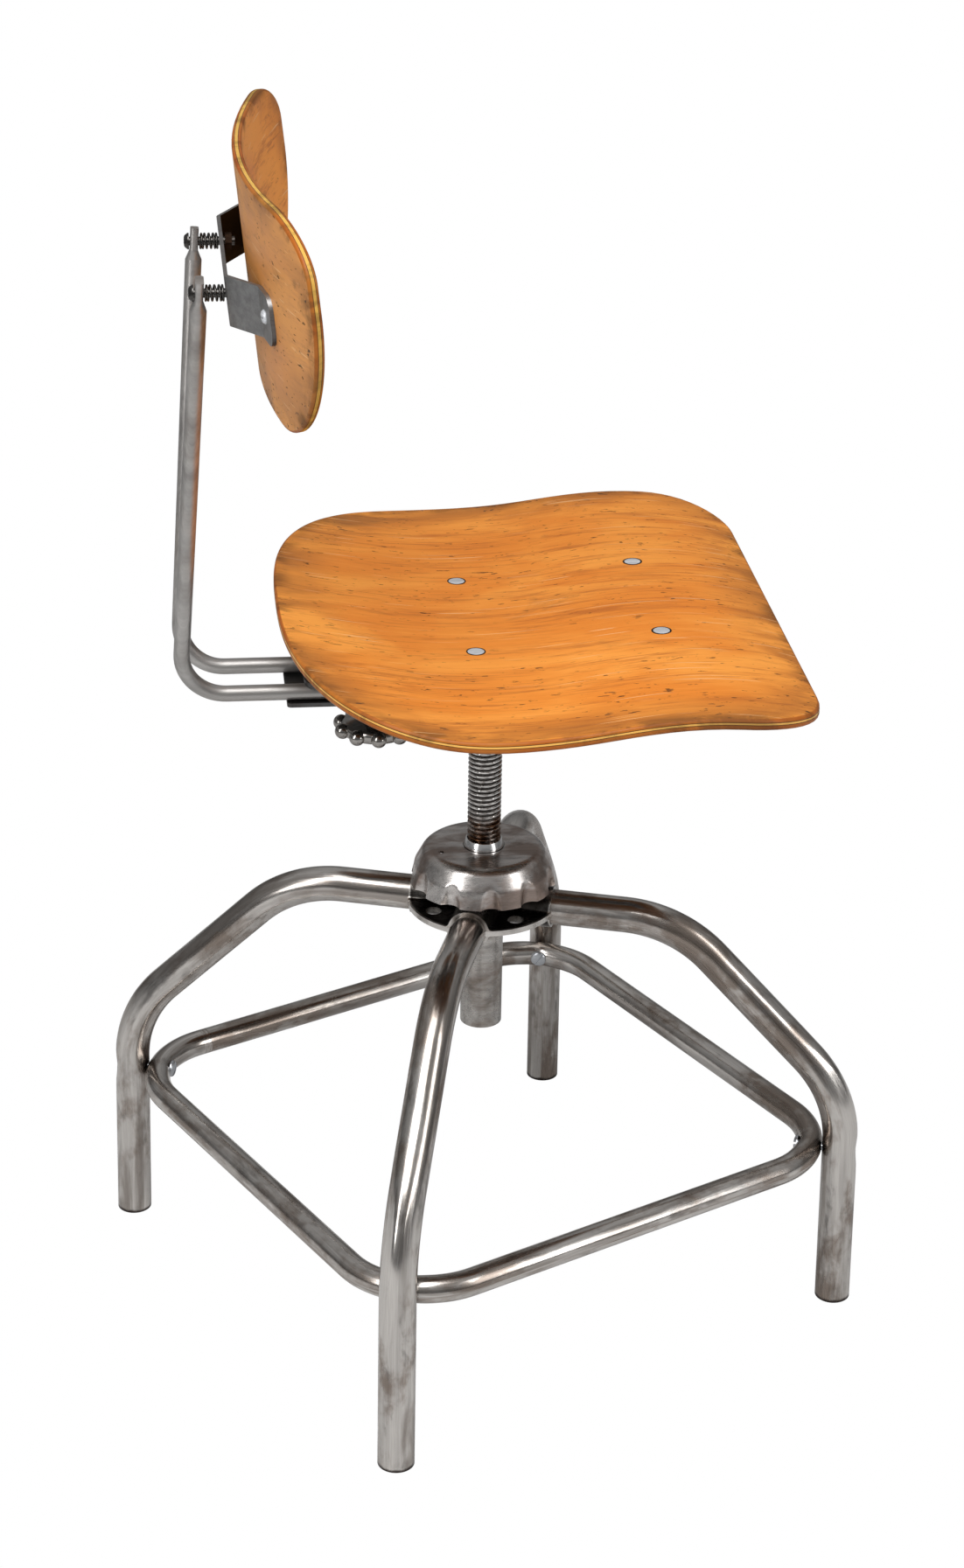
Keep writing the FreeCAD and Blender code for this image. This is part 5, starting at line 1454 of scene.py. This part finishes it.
@dataclass
class LiftHead:
    """Hand wheel, nut and lift screw."""

    finishes: dict[str, Finish]
    top: float = 340.0 * MM
    bottom: float = 313.0 * MM
    flat: float = 42.0 * MM
    flat_bend: float = 9.0 * MM
    skirt: float = 52.3 * MM
    waist: float = 49.4 * MM
    waist_height: float = 326.0 * MM
    waist_bend: float = 10.0 * MM
    sheet: float = 1.8 * MM
    hole: float = 15.0 * MM
    flutes: int = 11
    flute: float = 9.0 * MM
    flute_circle: float = 57.0 * MM
    screw: float = 11.9 * MM
    pitch: float = 3.5 * MM
    pin_hole: float = 2.0 * MM
    pin_at: tuple[float, float] = (33.0 * MM, 108.0)
    nut: float = 14.35 * MM
    nut_top: float = 346.0 * MM
    mesh_step: float = 0.9 * MM
    brim_softness: float = 1.1 * MM

    def flute_reach(self, turn: float, inset: float) -> float:
        """Distance at which a flute cuts the wheel at an angle, or a large value.

        Args:
            turn: Angle round the wheel.
            inset: Thickness of sheet left inside the flute.

        Returns:
            Distance from the axis in metres.
        """
        step = 2 * math.pi / self.flutes
        off = (turn - math.pi + step / 2) % step - step / 2
        radius = self.flute + inset
        sideways = self.flute_circle * math.sin(off)
        if abs(sideways) >= radius:
            return 1.0
        return self.flute_circle * math.cos(off) - math.sqrt(radius ** 2 - sideways ** 2)

    def build_wheel(self) -> None:
        """Presses the fluted wheel from even sheet."""
        t = self.sheet
        outer = rounded([(self.hole, self.top), (self.flat, self.top), (self.waist, self.waist_height),
                         (self.skirt, self.bottom)], [0, self.flat_bend, self.waist_bend, 0], 12)
        inner = rounded([(self.skirt - t, self.bottom), (self.waist - t, self.waist_height - t * 0.3),
                         (self.flat - t * 0.6, self.top - t), (self.hole, self.top - t)],
                        [0, self.waist_bend - t, self.flat_bend - t, 0], 12)

        def dense(line: Outline) -> Outline:
            """Adds points so that no step is over 1 mm.

            Args:
                line: Outline of a face.

            Returns:
                The outline with more points.
            """
            result = []
            for (ax, ay), (bx, by) in zip(line, line[1:]):
                parts = max(1, int(math.dist((ax, ay), (bx, by)) / self.mesh_step))
                result += [(ax + (bx - ax) * k / parts, ay + (by - ay) * k / parts) for k in range(parts)]
            result.append(line[-1])
            return result

        outer, inner = dense(outer), dense(inner)
        inner_set = {(round(r, 9), round(h, 9)) for r, h in inner}

        def shape(radius: float, turn: float, height: float) -> float:
            """Lets the flutes into the skirt with a soft brim.

            Args:
                radius: Radius without flutes.
                turn: Angle round the wheel.
                height: Height in metres.

            Returns:
                The radius with flutes.
            """
            inset = t if (round(radius, 9), round(height, 9)) in inner_set else 0.0
            cut = self.flute_reach(turn, inset)
            soft = self.brim_softness
            mix = max(0.0, min(1.0, 0.5 + 0.5 * (cut - radius) / soft))
            return cut * (1 - mix) + radius * mix - soft * mix * (1 - mix)

        wheel = lathe("hand_wheel", outer + inner, self.finishes["wheel"], 308, shape=shape, sharp=50)
        reach, turn = self.pin_at
        across = Vector((math.cos(math.radians(turn)), math.sin(math.radians(turn)), 0)) * reach
        pin = [(0.0, 5 * MM), (self.pin_hole, 5 * MM), (self.pin_hole, -5 * MM), (0.0, -5 * MM)]
        place = Matrix.Translation(across + Vector((0, 0, self.top)))
        carve(wheel, lathe("pin_hole", pin, self.finishes["wheel"], 32, place))
        seat_on(wheel, "wheel", "wheel_steel", "handwheel")

    def build_nut(self) -> None:
        """Turns the bright collar of the nut, which stands out of the wheel."""
        bore = self.screw + 0.25 * MM
        profile = rounded([(bore, self.nut_top), (bore, self.top - 1 * MM), (self.nut, self.top - 1 * MM),
                           (self.nut, self.top + 1.6 * MM), (self.screw + 0.9 * MM, self.nut_top)],
                          [0, 0, 0, 1.0 * MM, 0.5 * MM], 4)
        collar = lathe("nut_collar", profile, self.finishes["nut"])
        seat_on(collar, "wheel", "nut_steel")
        dress("lift_nut", self.finishes["nut"])

    def build_screw(self) -> None:
        """Cuts the lift screw."""
        low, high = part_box("lift_screw")
        tree = thread_tree()
        screw = tree.bake("lift_thread", {
            "Radius": self.screw, "Depth": 1.75 * MM, "Pitch": self.pitch, "Length": high[2] - low[2],
            "Start": low[2], "Finish": self.finishes["thread"]}, sharp=25)
        seat_on(screw, "seat", "screw_steel", "lift_screw")
        dress("screw_stop", self.finishes["thread"])

    def build(self) -> None:
        """Builds the head in order."""
        self.build_wheel()
        self.build_nut()
        self.build_screw()


@dataclass
class Seat:
    """Seat board with its bolts and the frame below."""

    finishes: dict[str, Finish]
    fasteners: GeometryTree
    thick: float = 8.0 * MM
    edge: float = 2.4 * MM
    half_width: float = 216.0 * MM
    rear: float = 146.0 * MM
    front: float = 199.0 * MM
    front_half: float = 214.5 * MM
    corner: float = 60.0 * MM
    power: float = 2.6
    bolt_side: float = 65.0
    bolt_rows: tuple[float, float] = (-15.2, 109.9)
    probe: float = 2.0 * MM
    line: tuple[tuple[float, float], ...] = (
        (-150, 534.1), (-120, 528.0), (-80, 521.0), (-40, 516.3), (-20, 515.7), (0, 516.1),
        (40, 519.6), (80, 525.2), (120, 527.6), (160, 524.4), (190, 517.8), (203, 513.6))

    def __post_init__(self) -> None:
        """Solves the natural spline through the seat line."""
        xs = [p[0] * MM for p in self.line]
        ys = [p[1] * MM for p in self.line]
        count = len(xs)
        gaps = [xs[i + 1] - xs[i] for i in range(count - 1)]
        lower = [0.0] * count
        bends = [0.0] * count
        shares = [0.0] * count
        for i in range(1, count - 1):
            slope = 3 * ((ys[i + 1] - ys[i]) / gaps[i] - (ys[i] - ys[i - 1]) / gaps[i - 1])
            lower[i] = 2 * (xs[i + 1] - xs[i - 1]) - gaps[i - 1] * shares[i - 1]
            shares[i] = gaps[i] / lower[i]
            bends[i] = (slope - gaps[i - 1] * bends[i - 1]) / lower[i]
        for i in range(count - 2, 0, -1):
            bends[i] -= shares[i] * bends[i + 1]
        self._spline = (xs, ys, gaps, bends)

    def height(self, forward: float) -> float:
        """Height of the upper face at a distance forward of the post.

        Args:
            forward: Distance in metres.

        Returns:
            Height in metres.
        """
        xs, ys, gaps, bends = self._spline
        i = max(0, min(len(xs) - 2, sum(1 for x in xs if x <= forward) - 1))
        step, gap = forward - xs[i], gaps[i]
        rate = (ys[i + 1] - ys[i]) / gap - gap * (bends[i + 1] + 2 * bends[i]) / 3
        return ys[i] + rate * step + bends[i] * step ** 2 + (bends[i + 1] - bends[i]) / (3 * gap) * step ** 3

    def outline(self) -> Outline:
        """Plan outline of the board, anticlockwise from the left side.

        Returns:
            The points in metres.
        """
        points = []
        for k in range(97):
            turn = math.pi * k / 96
            across = abs(math.cos(turn)) ** (2 / self.power) * self.half_width
            back = abs(math.sin(turn)) ** (2 / self.power) * self.rear
            points.append((math.copysign(across, math.cos(turn)), back))
        bend_y = self.front - self.corner
        for k in range(1, 12):
            share = k / 12
            points.append((-self.half_width + (self.half_width - self.front_half) * share, -bend_y * share))
        inner = self.front_half - self.corner
        points += oval_quarter(-inner, -bend_y, self.corner, self.corner, math.pi, 12)
        points += [(-inner + 2 * inner * k / 24, -self.front) for k in range(1, 24)]
        points += oval_quarter(inner, -bend_y, self.corner, self.corner, 1.5 * math.pi, 12)
        for k in range(11, 0, -1):
            share = k / 12
            points.append((self.half_width - (self.half_width - self.front_half) * share, -bend_y * share))
        return points

    def build_board(self) -> None:
        """Bends the seat board."""
        def lift(x: float, y: float, deep: float) -> Vector:
            """Place of a point of the board."""
            return Vector((x, y, self.height(-y) - deep))

        board = solid_board("seat_plywood", self.outline(), self.thick, self.edge, lift,
                            self.finishes["seat_wood"], 30)
        seat_on(board, "seat", "seat_plywood", "seat_board")

    def build_bolts(self) -> None:
        """Sets the four flat bolt heads."""
        spots = []
        for x in (-self.bolt_side, self.bolt_side):
            for forward in self.bolt_rows:
                level = self.height(forward * MM)
                ahead, back = self.height(forward * MM + self.probe), self.height(forward * MM - self.probe)
                slope = (ahead - back) / (2 * self.probe)
                normal = Vector((0, slope, 1)).normalized()
                spots.append(Spot(Vector((x * MM, -forward * MM, level)), normal, 0.3 + x * 0.02))
        head = ((0.0, 0.55), (3.5, 0.5), (5.2, 0.35), (5.8, 0.0), (5.8, -1.0), (3.0, -1.0),
                (3.0, -19.0), (0.0, -19.0))
        ring = ((5.7, 0.12), (6.9, 0.03), (6.9, -0.5), (5.7, -0.5))
        pattern = lathe("seat_bolt", in_metres(head), self.finishes["rivet"], 48)
        bolts = set_fasteners("seat_bolt_heads", pattern, spots, self.fasteners, self.finishes["rivet"])
        seat_on(bolts, "seat", "bolt_steel", "seat_bolts")
        pattern = lathe("bolt_ring", in_metres(ring), self.finishes["dirt"], 48)
        rings = set_fasteners("seat_bolt_rings", pattern, spots, self.fasteners, self.finishes["dirt"])
        seat_on(rings, "seat", "bolt_steel")

    def build(self) -> None:
        """Builds the seat in order."""
        self.build_board()
        self.build_bolts()
        for name in ("seat_frame", "clamp_plate", "clamp_nut"):
            dress(name, self.finishes["frame"])
        dress("seat_nuts", self.finishes["bolt"])


@dataclass
class Back:
    """Rods, springs, bracket and backrest board."""

    finishes: dict[str, Finish]
    fasteners: GeometryTree
    bow: float = 725.0 * MM
    thick: float = 6.6 * MM
    edge: float = 2.0 * MM
    front: float = 155.9 * MM
    middle: float = 767.1 * MM
    tilt: float = 6.0
    half_width: float = 215.2 * MM
    half_height: float = 74.0 * MM
    upper_corner: tuple[float, float] = (66 * MM, 34 * MM)
    lower_corner: tuple[float, float] = (100 * MM, 94 * MM)
    flare: float = 0.9 * MM
    side_step: float = 10 * MM

    def place(self) -> Matrix:
        """Turns and moves the backrest's own frame to its place."""
        lean = Matrix.Rotation(math.radians(-self.tilt), 4, "X")
        return Matrix.Translation((0, self.front, self.middle)) @ lean

    def outline(self) -> Outline:
        """Outline of the board: shallow upper and deep lower corners, anticlockwise.

        Returns:
            The points in metres.
        """
        wide, high, flare = self.half_width, self.half_height, self.flare
        (ux, uy), (lx, ly) = self.upper_corner, self.lower_corner
        corners = [(wide - ux, high - uy, ux, uy), (-wide + ux, high - uy, ux, uy),
                   (-wide - flare + lx, ly - high, lx, ly), (wide + flare - lx, ly - high, lx, ly)]
        points = []
        for index, corner in enumerate(corners):
            points += oval_quarter(*corner, math.pi / 2 * index, 24)
            if index in (0, 2):
                ax, ay = points[-1]
                nx = -ax
                points += [(ax + (nx - ax) * k / 18, ay) for k in range(1, 18)]
            if index == 1:
                points.append(((points[-1][0] - wide - flare) / 2, points[-1][1] - self.side_step))
        points.append(((wide * 2 + flare) / 2, high - uy - self.side_step))
        return points

    def build_board(self) -> None:
        """Bends the backrest board."""
        place = self.place()

        def lift(x: float, y: float, deep: float) -> Vector:
            """Place of a point of the board; depth runs to the rear.

            Args:
                x: Distance to the side.
                y: Distance along the board.
                deep: Depth below the upper face.

            Returns:
                The place.
            """
            angle = math.asin(x / self.bow)
            radius = self.bow + deep
            return place @ Vector((radius * math.sin(angle), radius * math.cos(angle) - self.bow, y))

        board = solid_board("back_plywood", self.outline(), self.thick, self.edge, lift,
                            self.finishes["back_wood"], 22)
        seat_on(board, "backrest", "back_plywood", "back_board")

    def build_springs(self) -> None:
        """Winds the two springs."""
        tree = coil_tree()
        for name, node in (("spring_left_coil", "spring_left"), ("spring_right_coil", "spring_right")):
            low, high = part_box(node)
            length = high[1] - low[1]
            middle = ((low[0] + high[0]) / 2, low[1], (low[2] + high[2]) / 2)
            spin = Matrix.Translation(middle) @ Matrix.Rotation(math.radians(-90), 4, "X")
            coil = tree.bake(name, {"Radius": 4.75 * MM, "Wire": 1.5 * MM, "Length": length, "Turns": 5.6,
                                    "Finish": self.finishes["spring"]}, place=spin, sharp=60)
            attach(coil, "spring_bolts")
            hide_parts(node)
            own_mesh(coil)
            LOG.info("%s: wound", name)

    def build(self) -> None:
        """Builds the back in order."""
        self.build_board()
        self.build_springs()
        for name in ("back_rod_left", "back_rod_right"):
            dress(name, self.finishes["rod"])
        dress("rod_tie", self.finishes["frame"])
        dress("rod_tie_screws", self.finishes["bolt"])
        dress("back_bracket", self.finishes["bracket"])
        dress("back_screws", self.finishes["rivet"])
        dress("back_bolts", self.finishes["spring"])
        dress("back_nuts", self.finishes["dirt"])


@dataclass
class Studio:
    """Camera, soft light and pale floor."""

    lens: float = 71.98
    sensor: float = 36.0
    camera_at: Point = (-1.9922, 0.2325, 1.3190)
    look_at: Point = (0.0002, 0.0020, 0.3873)
    lit_at: Point = (0.0, 0.0, 0.4)
    floor_reach: float = 12.0
    roll: float = 1.023
    room: tuple[float, float] = (0.10, 0.42)
    dusk: tuple[float, float] = (-0.2, 0.9)
    paper: float = 0.62
    panels: tuple[tuple[str, Point, tuple[float, float], float], ...] = (
        ("panel_above", (-1.0, 0.5, 2.6), (1.5, 1.5), 42.0),
        ("panel_left", (-1.5, 1.9, 1.7), (0.6, 2.0), 24.0),
        ("panel_right", (-1.5, -2.0, 1.5), (0.5, 2.0), 20.0),
    )

    @staticmethod
    def aimed(at: Point, target: Point) -> Matrix:
        """Returns the place of a camera or light that looks at a target."""
        turn = (Vector(target) - Vector(at)).to_track_quat("-Z", "Y")
        return Matrix.Translation(at) @ turn.to_matrix().to_4x4()

    def build_camera(self) -> None:
        """Stands the camera where the photograph was taken."""
        data = bpy.data.cameras.new("camera")
        data.sensor_width = self.sensor
        data.lens = self.lens
        camera = link_object("camera", data)
        roll = Matrix.Rotation(math.radians(self.roll), 4, "Z")
        camera.matrix_world = self.aimed(self.camera_at, self.look_at) @ roll
        bpy.context.scene.camera = camera

    def add_panel(self, name: str, at: Point, size: tuple[float, float], power: float) -> None:
        """Hangs one soft light panel that faces the stool.

        Args:
            name: Name of the light.
            at: Its place.
            size: Width and height.
            power: Watts.
        """
        data = bpy.data.lights.new(name, "AREA")
        data.shape = "RECTANGLE"
        data.size, data.size_y = size
        data.energy = power
        link_object(name, data).matrix_world = self.aimed(at, self.lit_at)

    def build_world(self) -> None:
        """Surrounds the stool with a dim room that the camera sees as white paper."""
        world = bpy.data.worlds.new("studio")
        world.use_nodes = True
        world.node_tree.nodes.clear()
        wires = Wires(world.node_tree)
        up = wires.axis(wires.add("ShaderNodeTexCoord").outputs["Generated"], 2)
        room = wires.steps(up, *self.dusk, *self.room)
        seen = wires.add("ShaderNodeLightPath").outputs["Is Camera Ray"]
        level = wires.most(room, seen)
        sky = wires.add("ShaderNodeBackground", {"Color": (1.0, 1.0, 1.0, 1.0), "Strength": level})
        wires.add("ShaderNodeOutputWorld", {0: sky.outputs[0]})
        bpy.context.scene.world = world

    def build_floor(self) -> None:
        """Lays the pale paper floor, which the camera sees as white."""
        floor = bpy.data.meshes.new("floor")
        reach = self.floor_reach
        corners = [(-reach, -reach, 0), (reach, -reach, 0), (reach, reach, 0), (-reach, reach, 0)]
        floor.from_pydata(corners, [], [(0, 1, 2, 3)])
        material, wires = new_material("floor_paper")
        paper = wires.get("ShaderNodeBsdfDiffuse", {"Color": (*[self.paper] * 3, 1.0)})
        white = wires.get("ShaderNodeEmission", {"Color": (1.0, 1.0, 1.0, 1.0), "Strength": 1.0})
        seen = wires.add("ShaderNodeLightPath").outputs["Is Camera Ray"]
        both = wires.get("ShaderNodeMixShader", {0: seen, 1: paper, 2: white})
        wires.add("ShaderNodeOutputMaterial", {0: both})
        floor.materials.append(material)
        ground = link_object("floor", floor)

    def build(self) -> None:
        """Builds the studio."""
        self.build_camera()
        self.build_world()
        self.build_floor()
        for name, at, size, power in self.panels:
            self.add_panel(name, at, size, power)
        bpy.context.scene.view_settings.view_transform = "Standard"


def main() -> None:
    """Builds the stool and the studio."""
    logging.basicConfig(level=logging.INFO, format="%(name)s %(message)s")
    Studio().build()
    finishes = {item.name: item.default.make() for item in fields(Finishes)}
    fasteners = fastener_tree()
    Base(finishes, fasteners).build()
    LiftHead(finishes).build()
    Seat(finishes, fasteners).build()
    Back(finishes, fasteners).build()
    for name in ("clamp_knob", "clamp_stud"):
        dress(name, finishes["knob"])


if __name__ == "__main__":
    main()
